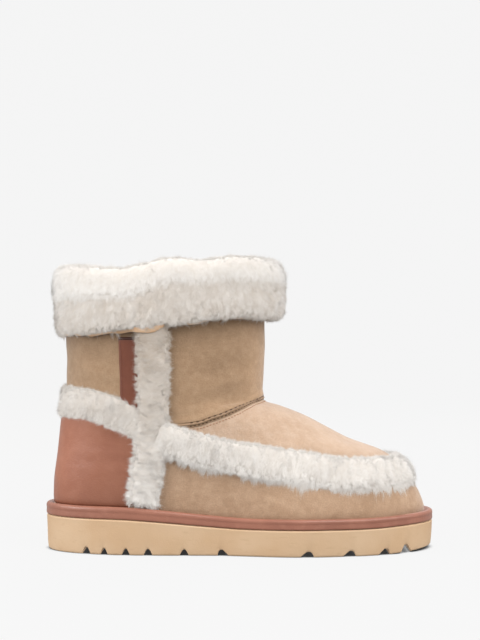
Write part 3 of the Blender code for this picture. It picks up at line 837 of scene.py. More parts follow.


# What paints shade on the suede next to it: over how far it fades, and how deep it is.
CUFF_SHADE = (0.011, 0.38)
WELT_SHADE = (0.0035, 0.26)
UNDER_TOE_SHADE = (0.0035, 0.30)
OVER_TOE_SHADE = (0.0025, 0.12)
UPRIGHT_SHADE = (0.0035, 0.24)
OVER_HEEL_SHADE = (0.003, 0.16)
WOOL_EDGES = (-0.9, 0.9)  # where a strip's wool meets the suede, in half widths
UNDER_WOOL = 0.004  # how far in under the wool a shade still goes on
FAR = 1.0  # a distance that nothing shades


def near(distance, reach, depth):
    """A shade that fades with the distance from what casts it."""
    return 1 - depth * np.exp(-np.clip(distance, 0, None) / reach)


def soft_shade(phi, z):
    """Painted shade on the suede next to the fur, the cuff and the welt."""
    side = np.arccos(np.clip(np.cos(phi), -1, 1))
    x = skin(side, z)[..., 0]
    shade = near(cuff_edge("bottom", side) - 0.003 - z, *CUFF_SHADE) * near(z - welt_top(x), *WELT_SHADE)
    toe = [strip_edge(front_line(), side, share, True) for share in WOOL_EDGES]
    below, above = np.minimum(*toe), np.maximum(*toe)
    under = near(np.where(z < below + UNDER_WOOL, below - 0.0035 - z, FAR), *UNDER_TOE_SHADE)
    over = near(np.where(z > above - UNDER_WOOL, z - above, FAR), *OVER_TOE_SHADE)
    fore = ease(along_x(0.30), along_x(0.34), x)
    shade = shade * (1 + fore * (under * over - 1))
    edges = [strip_edge(upright_line(False), z, share, False) for share in WOOL_EDGES]
    for edge, way in ((np.minimum(*edges), 1), (np.maximum(*edges), -1)):
        away = way * (skin(edge, z)[..., 0] + 0.003 - x)
        shade = shade * near(np.where(away > -0.012, away - 0.002, FAR), *UPRIGHT_SHADE)
    upper = np.maximum(*[strip_edge(rear_line(), side, share, True) for share in WOOL_EDGES])
    over = near(np.where(z > upper - UNDER_WOOL, z - upper, FAR), *OVER_HEEL_SHADE)
    back = 1 - ease(along_x(0.20), along_x(0.25), x)
    return shade * (1 + back * (over - 1))


def dressed(phi, z, lift):
    """The suede's surface: the upper's own, with its lift, creases and swells."""
    base = skin(phi, z)
    return base + normal(phi, z) * (lift + crease_depth(base) + waves(base) + vamp_dip(base))[..., None]


# The shaft's folded edge: how high its suede stands at each distance from the seam.
SEAM_BAND = """
away    lift
0.0000  0.0002
0.0002  0.0010
0.0005  0.0012
0.0010  0.0008
0.0015  0.0013
0.0021  0.0019
0.0026  0.0015
0.0032  0.0007
0.0038  0.0012
0.0050  0.0012
0.0066  0.0009
0.0080  0.0006
"""
SHAFT_COLUMNS = 330
SEAM_ROWS = """
row   away     lift    pitch   length  radius
low   0.0010   0.0009  0.0028  0.0016  0.00052
high  0.0032   0.0008  0.0042  0.0019  0.00068
vamp  -0.0016  0.0005  0.0023  0.0013  0.00045
"""


def seam_lines(away):
    """Phi and z of lines beside the shaft's seam, at distances above it over the surface."""
    phi = turn(SHAFT_COLUMNS)
    z = seam_z(phi)
    by_phi, by_z = slopes(phi, z)
    ahead = np.concatenate([z[1:], z[:1]]) - np.concatenate([z[-1:], z[:-1]])
    heading = unit(by_phi * (4 * np.pi / SHAFT_COLUMNS) + by_z * ahead[:, None])
    up = np.cross(heading, normal(phi, z))
    up = up * np.sign((up * by_z).sum(-1))[:, None]
    return np.stack([np.stack(walk(phi, z, up, d)) for d in away], 1)


def in_front(phi, z):
    """0 behind the uprights, where the seam is plain, and 1 in front of them."""
    return ease(along_x(0.30), along_x(0.37), skin(phi, z)[..., 0])


def make_shaft():
    """The shaft from its seam up into the cuff. Its lower edge is folded and stitched into a ridge."""
    band = table(SEAM_BAND)
    away = np.linspace(0, band["away"][-1], 32)
    near_phi, near_z = seam_lines(away)
    lift = smooth(band["away"], band["lift"], away)[:, None] * np.ones(near_z.shape[1])
    last_phi, last_z = near_phi[-1], near_z[-1]
    high = cuff_line("top", last_phi) - CUFF_TOP - 0.001
    share = np.linspace(0, 1, 52)[1:, None]
    phi = np.concatenate([near_phi, last_phi + 0 * share])
    z = np.concatenate([near_z, last_z + (high - last_z) * share])
    lift = np.concatenate([lift, lift[-1:] + 0 * share])
    lift = 0.0004 + (lift - 0.0004) * in_front(phi[:1], z[:1])
    made = add_mesh("suede_shaft", dressed(phi, z, lift), grid_quads(*z.shape, round_columns=True))
    x = skin(phi, z)[..., 0]
    walked = np.concatenate([away, away[-1] + 0.1 * share[:, 0]])[:, None]
    # Darker along the seam's band, in front of the uprights.
    band = 1 - 0.20 * in_front(phi, z) * (1 - ease(0.0030, 0.0044, walked))
    # Painted light: the suede lighter towards the shaft's front edge, which the lamps light too little.
    wear_and_painted_light = 1 + 0.20 * ease(along_x(0.49), along_x(0.565), x)
    # The shade attribute holds painted shade next to the fur, the cuff and the welt, and painted light at the
    # front edge.
    set_attribute(made, "shade", soft_shade(phi, z) * band * wear_and_painted_light)
    return finish_piece(made, SUEDE_SHAFT, ["upper"])


def panel_between(name, phi, low, high, count, lift, material):
    z = low + (high - low) * np.linspace(0, 1, count)[:, None]
    wide = np.broadcast_to(phi, z.shape)
    made = add_mesh(name, dressed(wide, z, lift), grid_quads(*z.shape))
    # Painted shade next to the fur, the cuff and the welt.
    set_attribute(made, "shade", soft_shade(wide, z))
    return finish_piece(made, material, ["upper"])


def front_z(phi):
    """Height of the toe trim's middle line at phi."""
    line_phi, line_z = front_line()
    return np.interp(phi, line_phi, line_z)


def make_foot_panels():
    """The lower side panel, which runs under the toe trim, and the vamp inside it."""
    phi = turn(341) * 341 / 340
    low = feather_z(phi) + GAP
    start = np.minimum(phi, 2 * np.pi - phi)
    behind = 1 - ease(1.02, 1.12, start)
    top = front_z(np.clip(phi, 0.9, 2 * np.pi - 0.9)) * (1 - behind) + seam_z(phi) * behind
    panel_between("suede_side", phi, low, top + 0.002, 52, 0.0002, SUEDE_SIDE)
    fore = np.linspace(1.0, 2 * np.pi - 1.0, 270)
    low = np.minimum(front_z(fore) - 0.002, seam_z(fore))
    panel_between("suede_vamp", fore, low, seam_z(fore) + 0.0004, 60, 0.0005, SUEDE_VAMP)


def make_lining():
    """The fleece inside, from the collar down to the footbed."""
    phi = turn(150)
    low, high = feather_z(phi) + INSOLE_THICKNESS - 0.001, cuff_line("top", phi) - CUFF_TOP
    z = low + (high - low) * np.linspace(1, 0, 50)[:, None]
    wide = np.broadcast_to(phi, z.shape)
    base = skin(wide, z)
    depth = WALL + 0.0006 * noise3(base, 0.004, 21) + 0.0004 * noise3(base, 0.0018, 22)
    points = base - normal(wide, z) * depth[..., None]
    made = add_mesh("lining", points, grid_quads(*z.shape, round_columns=True))
    return finish_piece(made, LINING, ["upper"])


# Stitches


def capsule():
    """A stitch's shape along X, one unit long and thick: rings of points."""
    rings, sides = ((-0.5, 0.25), (-0.38, 0.85), (0.0, 1.0), (0.38, 0.85), (0.5, 0.25)), 6
    angle = turn(sides)
    points = [(x, r * math.cos(a), r * math.sin(a)) for x, r in rings for a in angle]
    quads = grid_quads(len(rings), sides, round_columns=True)
    caps = np.array([[0, 5, 4, 3, 2, 1], [24, 25, 26, 27, 28, 29]])
    return np.array(points), quads, caps


def stitch_row(name, phi, z, offset, pitch, length, radius, material, slot):
    """A row of stitches along a line over the upper."""
    points = off_skin(phi, z, offset)
    walked = np.concatenate([[0], np.cumsum(np.linalg.norm(np.diff(points, axis=0), axis=1))])
    count = int(walked[-1] / pitch)
    middle = (np.arange(count) + 0.5) * pitch
    at = np.stack([np.interp(middle, walked, points[:, k]) for k in range(3)], 1)
    ahead = np.stack([np.interp(middle + 0.3 * pitch, walked, points[:, k]) for k in range(3)], 1)
    p, q = np.interp(middle, walked, phi), np.interp(middle, walked, z)
    run, out = unit(ahead - at), normal(p, q)
    side = unit(np.cross(out, run))
    out = np.cross(run, side)
    shape, quads, caps = capsule()
    local = shape * np.array([length, radius, 0.8 * radius])
    verts = at[:, None] + local[None, :, :1] * run[:, None] + local[None, :, 1:2] * side[:, None]
    verts = verts + local[None, :, 2:3] * out[:, None]
    offsets = (np.arange(count) * len(shape))[:, None, None]
    all_quads = (quads[None] + offsets).reshape(-1, 4)
    all_caps = (caps[None] + offsets).reshape(-1, 6)
    made = add_mesh(name, verts, all_quads, all_caps)
    return finish_piece(made, material)


def make_seam_stitches():
    """Two rows through the shaft's folded edge, and a fine row on the vamp below it."""
    rows = named_rows(SEAM_ROWS)
    lines = seam_lines([row["away"] for row in rows.values()])
    for k, (name, row) in enumerate(rows.items()):
        phi, z = lines[0][k], lines[1][k]
        fore = in_front(phi, z) > 0.99
        phi, z = phi[fore], z[fore]
        shape = skin(phi, z)
        lift = crease_depth(shape) + waves(shape) + row["lift"]
        thread = THREAD_PEACH if name == "vamp" else THREAD_DARK
        size = (row["pitch"], row["length"], row["radius"])
        stitch_row(f"seam_stitches_{name}", phi, z, lift, *size, thread, "suede")


# Leather


def sheet_with_edge(name, phi, z, lift, thickness, material, nodes):
    """Leather over the upper from a grid of phi and z. Its edge is rounded, and its back is closed."""
    rows, columns = phi.shape
    i = np.minimum(np.arange(rows), np.arange(rows)[::-1])[:, None]
    j = np.minimum(np.arange(columns), np.arange(columns)[::-1])[None, :]
    edge = np.minimum(i, j)
    rounded = np.choose(np.minimum(edge, 3), [0.15, 0.72, 0.94, 1.0])
    base = skin(phi, z)
    swell = 0.0002 * noise3(base, 0.018, 31)
    top = base + normal(phi, z) * (lift + thickness * rounded + swell)[..., None]
    back = off_skin(phi, z, lift)
    quads = grid_quads(rows, columns)
    under = quads[:, ::-1] + rows * columns
    rim = np.concatenate(
        [
            np.arange(columns),
            np.arange(1, rows) * columns + columns - 1,
            (rows - 1) * columns + np.arange(columns - 2, -1, -1),
            np.arange(rows - 2, 0, -1) * columns,
        ]
    )
    ahead = np.roll(rim, -1)
    sides = np.stack([rim, rim + rows * columns, ahead + rows * columns, ahead], 1)
    points = np.concatenate([top.reshape(-1, 3), back.reshape(-1, 3)])
    made = add_mesh(name, points, np.concatenate([quads, under, sides]))
    return finish_piece(made, material, nodes)


PASSES = 8  # of settling a sheet between edges that depend on each other


def make_counter():
    """The heel's leather, from the welt up to under the heel's strip, and out to under both uprights."""
    share, up = np.meshgrid(np.linspace(-1, 1, 110), np.linspace(0, 1, 34), indexing="ij")
    phi = share * 1.0
    z = np.full(phi.shape, SOLE_HEEL)
    for _ in range(PASSES):
        low = welt_top(skin(phi, z)[..., 0]) - 0.0010
        z = low + (heel_edge(phi, -0.55, STRIP_WIDTH) - low) * up
        phi = share * upright_edge(z, 0.6 * UPRIGHT_WIDTH)
    made = sheet_with_edge("heel_counter_leather", phi, z, GAP, LEATHER, COUNTER, ["heel_counter"])
    # Painted shade: darker near the welt, under the heel's strip and towards both uprights.
    shade = near(z - z[:, :1], 0.009, 0.22) * near(z[:, -1:] - z, 0.006, 0.26)
    shade = shade * (1 - 0.20 * ease(0.30, 0.95, np.abs(share)))
    set_attribute(made, "shade", np.tile(shade.reshape(-1), 2))


TAB_UNDER = 0.004  # how far a tab goes on under its upright
# How far the painted shadow band on a tab's upper edge stands off it, and how much thicker than the tab it
# is.
SHADOW_BAND_LIFT = 0.0002
SHADOW_BAND_THICKER = 0.0004
TAB_STITCHES = (0.0022, 0.0015, 0.00022)  # pitch, length and radius
TAB_STITCH_LINE = 3


def make_tabs():
    """The leather tabs behind the uprights, each with a dark band along its upper edge, a painted edge
    shadow, and a row of stitches.
    """
    for side, sign in (("outer", 1), ("inner", -1)):
        back, up = np.meshgrid(np.linspace(1, 0, 24), np.linspace(0, 1, 70), indexing="ij")
        phi = np.full(back.shape, 1.2)
        z = np.full(back.shape, THROAT_Z)
        for _ in range(PASSES):
            low = heel_edge(phi, 0.5, STRIP_WIDTH)
            z = low + (SOLE_BALL + TAB_TOP - low) * up
            edge = upright_edge(z, UPRIGHT_WIDTH)
            by_phi, _ = slopes(edge, z)
            phi = edge - (back * (TAB_WIDTH + TAB_UNDER) - TAB_UNDER) / np.linalg.norm(by_phi, axis=-1)
        node = f"leather_tab_{side}"
        sheet_with_edge(f"tab_{side}", phi * sign, z, GAP, LEATHER, TAB, [node])
        # The dark band along the tab's upper edge: a painted edge shadow.
        shadow_band_z = z[:, -1:] + np.linspace(-0.0016, 0.0006, 8)
        shadow_band_phi = (phi[:, -1:] + np.zeros(8)) * sign
        lift, thickness = GAP + SHADOW_BAND_LIFT, LEATHER + SHADOW_BAND_THICKER
        sheet_with_edge(f"tab_hem_{side}", shadow_band_phi, shadow_band_z, lift, thickness, TAB_EDGE_SHADOW, [])
        line_phi, line_z = phi[TAB_STITCH_LINE] * sign, z[TAB_STITCH_LINE]
        lift = GAP + LEATHER + 0.0002
        stitch_row(f"tab_stitches_{side}", line_phi, line_z, lift, *TAB_STITCHES, THREAD_TAB, "tab")


# The welt's section: out is a share of its ledge, and up one of its height.
WELT_PROFILE = """
out    up
0.00   -0.06
0.60   -0.05
0.93   0.00
1.00   0.06
1.02   0.16
1.01   0.34
1.002  0.46
1.01   0.55
1.03   0.64
1.02   0.76
0.95   0.88
0.83   0.96
0.68   1.00
0.50   0.985
0.32   0.93
0.16   0.86
0.00   0.84
"""


def make_welt():
    """The rolled rand: a bead round its top over a plain band."""
    t = table(WELT_PROFILE)
    steps = np.arange(len(t["out"]), dtype=float)
    fine = np.linspace(0, steps[-1], 36)
    out, up = smooth(steps, t["out"], fine), smooth(steps, t["up"], fine)
    phi = turn(340)
    x = outline(phi, np.full(len(phi), WELT_LEDGE / 2))[:, 0]
    bottom, top = sole_top(x) + GAP, welt_top(x)
    wobble = 0.00012 * noise2(phi * 40 / (2 * np.pi), np.zeros_like(phi), 41, wrap=40)
    loops = []
    for o, u in zip(out, up):
        ledge = outline(phi, GAP + (WELT_LEDGE - GAP) * o + wobble)
        loops.append(np.concatenate([ledge, (bottom + (top - bottom) * u)[:, None]], 1))
    points = np.stack(loops, 1)
    quads = grid_quads(*points.shape[:2], round_rows=True, round_columns=True)[:, ::-1]
    made = add_mesh("welt_rand", points, quads)
    return finish_piece(made, WELT, ["welt"])


# Sole


# The sole's wall from the underside up: rise is above the underside, and drop is below its top.
SOLE_BANDS = """
inset   rise    drop
0.0024  0.0000  0
0.0017  0.0002  0
0.0013  0.0007  0
0.0012  0.0014  0
0.0008  0.0050  0
0.0004  0       0.0065
0.0002  0       0.0022
0.0001  0       0.0012
0.0005  0       0.0004
0.0014  0       0.0000
"""


def groove_profiles():
    """Each notch as seen from the side: the places along the sole and the heights of its outline."""
    t = table(GROOVES)
    profiles = []
    for x, width, lean, depth in zip(along_x(t["along"]), t["width"], t["lean"], t["depth"]):
        roof, top = GROOVE_DEPTH * depth, width / 2 * GROOVE_ROOF
        angle = np.linspace(np.pi, 0, 7)
        start, end = [-width / 2, lean - GROOVE_SHOULDER * top], [lean + GROOVE_SHOULDER * top, width / 2]
        places = x + np.concatenate([start, lean + top * np.cos(angle), end])
        levels = np.concatenate([[0, 0.70], 0.78 + 0.22 * np.sin(angle), [0.70, 0]]) * roof
        profiles.append((places, levels + sole_bottom(x)))
    return profiles


def sole_side(inner, xs, profiles):
    """Lines of points round one side of the sole, with a point of each line at every x of xs."""
    t = table(SOLE_BANDS)
    dense = np.linspace(0, np.pi, 1500)
    around = 2 * np.pi - dense if inner else dense
    edge_x = outline(around, np.full(len(dense), WELT_LEDGE - t["inset"][0]))[:, 0]
    middle = np.interp(xs, edge_x, dense)
    heel, toe = np.linspace(0, middle[0], 24)[:-1], np.linspace(middle[-1], np.pi, 24)[1:]
    phi = np.concatenate([heel, middle, toe])
    phi = 2 * np.pi - phi if inner else phi
    foot = outline(phi, np.full(len(phi), WELT_LEDGE - t["inset"][0]))[:, 0]
    underside = sole_bottom(foot)
    for places, levels in profiles:
        underside = np.maximum(underside, np.interp(foot, places, levels, left=0.0, right=0.0))
    lines = []
    for inset, rise, drop in zip(t["inset"], t["rise"], t["drop"]):
        xy = outline(phi, np.full(len(phi), WELT_LEDGE - inset))
        low = len(lines) < (t["drop"] == 0).argmin()
        z = underside + rise if low else sole_top(xy[:, 0]) - drop
        lines.append(np.concatenate([xy, z[:, None]], 1))
    return lines


def make_sole():
    """The moulded sole. Its notches run straight across, so its underside depends on x alone."""
    profiles = groove_profiles()
    marks = np.concatenate([places for places, _ in profiles])
    first, last = marks.min() - 0.004, marks.max() + 0.004
    xs = np.unique(np.concatenate([marks, np.arange(first, last, 0.002), [last]]))
    points = np.stack(sole_side(False, xs, profiles) + sole_side(True, xs, profiles)[::-1], 1)
    made = add_mesh("sole_foam", points, grid_quads(*points.shape[:2], round_columns=True))
    rework(made, lambda edit: bmesh.ops.remove_doubles(edit, verts=edit.verts, dist=1e-6))
    made.data.shade_smooth()
    made.data.set_sharp_from_angle(angle=math.radians(32))
    return finish_piece(made, SOLE, ["outsole"])


def make_insole():
    """The footbed: short fleece, a little dished under the heel and the ball."""
    rows, columns = 90, 36
    s = np.linspace(0, np.pi, rows)
    walls = []
    for phi in (s, 2 * np.pi - s):
        wall = off_skin(phi, feather_z(phi) + INSOLE_THICKNESS, -WALL - 2 * GAP)
        walls.append(wall[:, None, :2])
    share = np.linspace(0, 1, columns)[None, :, None]
    xy = walls[0] * (1 - share) + walls[1] * share
    edge = np.sin(np.pi * np.clip(share[..., 0], 0, 1)) ** 0.35
    z = sole_top(xy[..., 0]) + INSOLE_THICKNESS - 0.0014 * edge
    points = np.concatenate([xy, z[..., None]], -1)
    points[..., 2] += 0.0004 * noise3(points, 0.004, 51) + 0.0003 * noise3(points, 0.0018, 52)
    made = add_mesh("footbed", points, grid_quads(rows, columns))
    return finish_piece(made, LINING, ["insole"])


# Sheepskin


END_LIFT = 0.7
UP = np.array([0.0, 0.0, 1.0])


class Pile:
    """A sheet of points, u along and v across, that wool grows on. u may run round into a ring."""

    def __init__(self, points, ring, way=1):
        self.points, self.ring = points, ring
        rows = np.concatenate([points[-1:], points, points[:1]]) if ring else points
        along = np.gradient(rows, axis=0)
        along = along[1:-1] if ring else along
        across = np.gradient(points, axis=1)
        self.normals = way * unit(np.cross(along, across))
        self.lit = self.normals
        steps = np.linalg.norm(np.diff(points, axis=1), axis=2).mean(0)
        self.width = steps.sum()
        closed = np.concatenate([points, points[:1]]) if ring else points
        self.length = np.linalg.norm(np.diff(closed, axis=0), axis=2).sum(0).mean()

    def look_up(self, values, u, v):
        """Values at u and v, each 0 to 1, between the sheet's points."""
        rows, columns = values.shape[:2]
        a = u * rows if self.ring else np.clip(u, 0, 1) * (rows - 1)
        b = np.clip(v, 0, 1) * (columns - 1)
        i = np.floor(a).astype(int)
        j = np.clip(np.floor(b).astype(int), 0, columns - 2)
        if not self.ring:
            i = np.clip(i, 0, rows - 2)
        fa, fb = (a - i)[:, None], (b - j)[:, None]
        i, k = i % rows, (i + 1) % rows
        here = values[i, j] * (1 - fb) + values[i, j + 1] * fb
        beyond = values[k, j] * (1 - fb) + values[k, j + 1] * fb
        return here * (1 - fa) + beyond * fa

    def light_as(self, smooth_normals, core, share):
        """Sets the directions that the wool is lit from, turned to a core so that its rims aren't dark.

        Wool that looks along the boot is turned up, too.
        """
        ends = (1 - np.abs(core[..., 1:2])) ** 2
        core = unit(core + END_LIFT * ends * UP)
        self.lit = unit(smooth_normals * (1 - share) + core * share)

    def at(self, u, v, out=0.0):
        normals = unit(self.look_up(self.normals, u, v))
        return self.look_up(self.points, u, v) + normals * np.asarray(out)[..., None], normals


def clumps(pile, cell, rng):
    """Centres of locks on a jittered lattice, as u and v, with the lattice's size."""
    rows, columns = max(3, round(pile.length / cell)), max(3, round(pile.width / cell))
    i, j = np.meshgrid(np.arange(rows), np.arange(columns), indexing="ij")
    u = (i + 0.5 + 0.5 * (j % 2) + rng.uniform(-0.38, 0.38, i.shape)) / rows
    v = (j + 0.5 + rng.uniform(-0.38, 0.38, i.shape)) / columns
    return u, v, rows, columns


def dim_ground(made, pile, tone):
    """Paints the wool's shade and tone onto the ground under it."""
    rows, columns = pile.points.shape[:2]
    u, v = np.arange(rows) / (rows if pile.ring else rows - 1), np.linspace(0, 1, columns)
    u, v = np.meshgrid(u, v, indexing="ij")
    set_attribute(made, "dim", np.clip(1 - tone(u, v), 0, 1))


def nearest_clump(pile, u, v, cell, rng):
    """For each place, the lock it belongs to: the lock's place, its number and the distance in metres."""
    cu, cv, rows, columns = clumps(pile, cell, rng)
    i, j = np.floor(u * rows).astype(int), np.floor(v * columns).astype(int)
    best = np.full(u.shape, 1e9)
    found_u, found_v, found = u.copy(), v.copy(), np.zeros(u.shape, int)
    for di in (-2, -1, 0, 1):
        for dj in (-1, 0, 1):
            a, b = i + di, np.clip(j + dj, 0, columns - 1)
            a = a % rows if pile.ring else np.clip(a, 0, rows - 1)
            du = cu[a, b] - u
            if pile.ring:
                du = du - np.round(du)
            dv = cv[a, b] - v
            away = np.hypot(du * pile.length, dv * pile.width)
            closer = away < best
            best = np.where(closer, away, best)
            found_u, found_v = np.where(closer, u + du, found_u), np.where(closer, v + dv, found_v)
            found = np.where(closer, a * columns + b, found)
    return found_u, found_v, found, best


LOCK_TURN = 0.07
STRAND_TURN = 0.12
LOCK_LEAN = 0.0008
STRAND_LEAN = 0.00075
STRAND_WIDTH = 0.00034
STRAND_THICKNESS = 0.00001
ROOT_DEPTH = 0.0008
LONG_STRANDS = 0.15
LONGER = 1.55
FACE_TURN = 0.6


def grow(name, pile, look, length, sweep, tone, rng, fall):
    """Wool on a pile as one mesh of thin strands, each with a front and a back.

    look has how many strands there are, the size of a lock, a strand's width, its pull to the tip of its
    lock, the part of the pile that it grows on, from and to along v, and how far curl sets the locks apart.
    length(u, v) is a strand's reach above the pile, and sweep(u, v) is how far its tip goes along u and v,
    both in metres. tone(u, v) is how bright it is, and fall(u, v, tip_v) moves tips past the lower edge.
    All its corners have the pile's own normal, turned a little for each lock, and it shades nothing, so that
    it's lit as a fleece.
    """
    count, cell, curl = int(look["strands"]), look["lock"], look["curl"]
    u = rng.uniform(0, 1, count)
    v = rng.uniform(look["from"], look["to"], count)
    lock_u, lock_v, lock, away = nearest_clump(pile, u, v, cell, rng)
    locks = lock.max() + 1
    shade = rng.uniform(0, 1, locks)[lock]
    tall = rng.uniform(0.78, 1.18, locks)[lock]
    lean = curl * rng.normal(0, LOCK_LEAN, (locks, 2))[lock] + rng.normal(0, STRAND_LEAN, (count, 2))
    turned = curl * rng.normal(0, LOCK_TURN, (locks, 3))[lock] + rng.normal(0, STRAND_TURN, (count, 3))
    reach = length(u, v) * tall * rng.uniform(0.72, 1.12, count) * (1.06 - 0.30 * np.clip(away / cell, 0, 1))
    reach = reach * np.where(rng.uniform(0, 1, count) < LONG_STRANDS, LONGER, 1.0)
    go_u, go_v = sweep(u, v)
    tip_u = u + (lock_u - u) * look["pull"] + (go_u + lean[:, 0]) / pile.length
    tip_v = v + (lock_v - v) * look["pull"] + (go_v + lean[:, 1]) / pile.width
    root, out = pile.at(u, v, np.full(count, -ROOT_DEPTH))
    tip, _ = pile.at(tip_u, tip_v, reach)
    tip = tip + fall(u, v, tip_v)
    run = unit(tip - root)
    side = unit(np.cross(run, out) + rng.normal(0, 0.25, (count, 3)))
    flat = unit(np.cross(side, run)) * STRAND_THICKNESS / 2
    half = (look["width"] * rng.uniform(0.7, 1.3, count) / 2)[:, None]
    left, right = root - side * half, root + side * half
    corners = [left + flat, right + flat, tip + flat, right - flat, left - flat, tip - flat]
    first = np.arange(count)[:, None] * 6
    faces = np.concatenate([first + np.array([[0, 1, 2]]), first + np.array([[3, 4, 5]])])
    made = add_mesh(name, np.stack(corners, 1), None, faces)
    lit = pile.look_up(pile.lit, u, v) + turned
    faced = FACE_TURN * flat / (STRAND_THICKNESS / 2)
    sides = np.repeat(np.stack([unit(lit + faced), unit(lit - faced)], 1), 3, axis=1)
    made.data.normals_split_custom_set_from_vertices(sides.reshape(-1, 3))
    bright = tone(u, v) - 0.06 * (1 - shade) - 0.10 * rng.uniform(0, 1, count)
    set_attribute(made, "tip", np.tile([0.0, 0.0, 1.0], (count, 2)))
    set_attribute(made, "tone", np.repeat(bright, 6))
    made.visible_shadow = False
    made.visible_diffuse = False
    return finish_piece(made, WOOL)


# The cuff's section: out from the shaft in metres, plus depth in shares of the pile's depth, and tall in
# shares of the way from its lower to its upper edge, plus top in metres.
CUFF_SECTION = """
out     depth  tall   top
0.0020  0.00   0.01   0
0.0000  0.46   0.00   0
0.0000  0.80   0.03   0
0.0000  0.96   0.14   0
0.0000  1.03   0.30   0
0.0000  1.02   0.46   0
0.0000  1.05   0.58   0
0.0000  1.02   0.72   0
0.0000  0.86   0.88   0
0.0000  0.50   0.98   0
-0.002  0.00   1.00   0
-0.0075 0.00   1.00   -0.0020
-0.0102 0.00   1.00   -0.0085
-0.0098 0.00   1.00   -0.0170
-0.0050 0.00   1.00   -0.0235
"""
CUFF_LINES_ACROSS = 47
CUFF_SIDE = 17  # the line that looks straight out

# How far the wool's edges lie from the cuff's own in the part, in metres.
CUFF_EDGES = """
share  bottom  top
0.00   -0.0039 -0.0006
0.04   -0.0042 -0.0006
0.08   -0.0050 -0.0006
0.15   -0.0066 -0.0014
0.25   -0.0072 -0.0036
0.33   -0.0080 -0.0068
0.42   -0.0080 -0.0066
0.47   -0.0073 -0.0046
0.52   -0.0066 -0.0032
0.57   -0.0060 -0.0024
0.68   -0.0042 -0.0038
0.76   -0.0024 -0.0026
0.84   -0.0008 -0.0002
0.93   -0.0004 0.0003
1.00   -0.0004 0.0000
"""

CUFF_WOOL = """
part    strands  lock    width    pull  from  to    curl
low     80000    0.0028  0.00034  0.45  0.00  0.42  1.9
high    64000    0.0030  0.00034  0.25  0.40  0.78  1
inside  22000    0.0046  0.00038  0.30  0.76  1.00  1
"""

# Where the cuff's cut skin shows, as shares of the boot's length, and how far.
SKIN_SHOWS = """
from  full  until  gone  shows
0.12  0.16  0.46   0.50  0.0018
0.35  0.40  0.48   0.52  0.0010
0.61  0.64  0.67   0.70  0.0012
"""
SKIN_STANDS_OUT = 0.0045
SKIN_SECTION = """
out     up
0.0014  0.0040
0.0014  0.0003
0.0018  0.0000
0.0025  0.0000
0.0030  0.0004
0.0031  0.0040
"""

# A tuft that hangs loose below the cuff on the outer side: where along the cuff, and how wide, as shares.
TUFT_AT = 0.171
TUFT_WIDTH = 0.0045
TUFT_LENGTH = 0.0065


def cuff_edge(name, phi):
    """The pile's lower or upper edge, which is wavier than the skin's."""
    t = table(CUFF_EDGES)
    return cuff_line(name, phi) + smooth(t["share"], t[name], (1 - np.cos(phi)) / 2)


def fold_at(u):
    """How far up the cuff's pile, from 0 to 1, the fold in it lies."""
    uneven = 0.012 * noise2(u * 26, 0 * u, 69, wrap=26)
    return 0.405 + 0.065 * ease(0.36, 0.50, (1 - np.cos(2 * np.pi * u)) / 2) + uneven


def cuff_pile():
    """The cuff's surface: from under its edge, round its outside, over the top and down inside."""
    t = table(CUFF_SECTION)
    phi = turn(340)
    share = (1 - np.cos(phi)) / 2
    bottom, top = cuff_edge("bottom", phi), cuff_edge("top", phi)
    deep = CUFF_DEPTH * cuff_column("depth", phi) + 0.0022 * ease(0.82, 0.97, share)
    steps = np.arange(len(t["out"]), dtype=float)
    fine = np.linspace(0, steps[-1], CUFF_LINES_ACROSS)
    columns = {name: smooth(steps, t[name], fine) for name in t}
    lines = []
    for k in range(len(fine)):
        out = columns["out"][k] + columns["depth"][k] * deep
        z = bottom + (top - bottom) * columns["tall"][k] + columns["top"][k]
        lines.append(cuff_point(phi, np.minimum(z, top + 0.001), out))
    points = np.stack(lines, 1)
    bare = Pile(points, True)
    rough = 1 - 0.70 * ease(0.45, 0.60, columns["tall"])
    swell = (0.0009 * noise3(points, 0.013, 61) + 0.0005 * noise3(points, 0.006, 62)) * rough
    past = np.linspace(0, 1, len(fine))[None, :] - fold_at(phi / (2 * np.pi))[:, None]
    swell = swell + 0.0013 * ease(-0.045, 0.035, past) * (1 - ease(0.15, 0.30, past))
    pile = Pile(points + bare.normals * (swell - 0.0012)[..., None], True)
    over = ease(0.50, 0.92, np.linspace(0, 1, len(fine)))[None, :, None]
    core = unit(bare.normals[:, CUFF_SIDE:CUFF_SIDE + 1] * (1 - over) + UP * over)
    pile.light_as(0.7 * bare.normals + 0.3 * pile.normals, core, 0.7)
    return pile


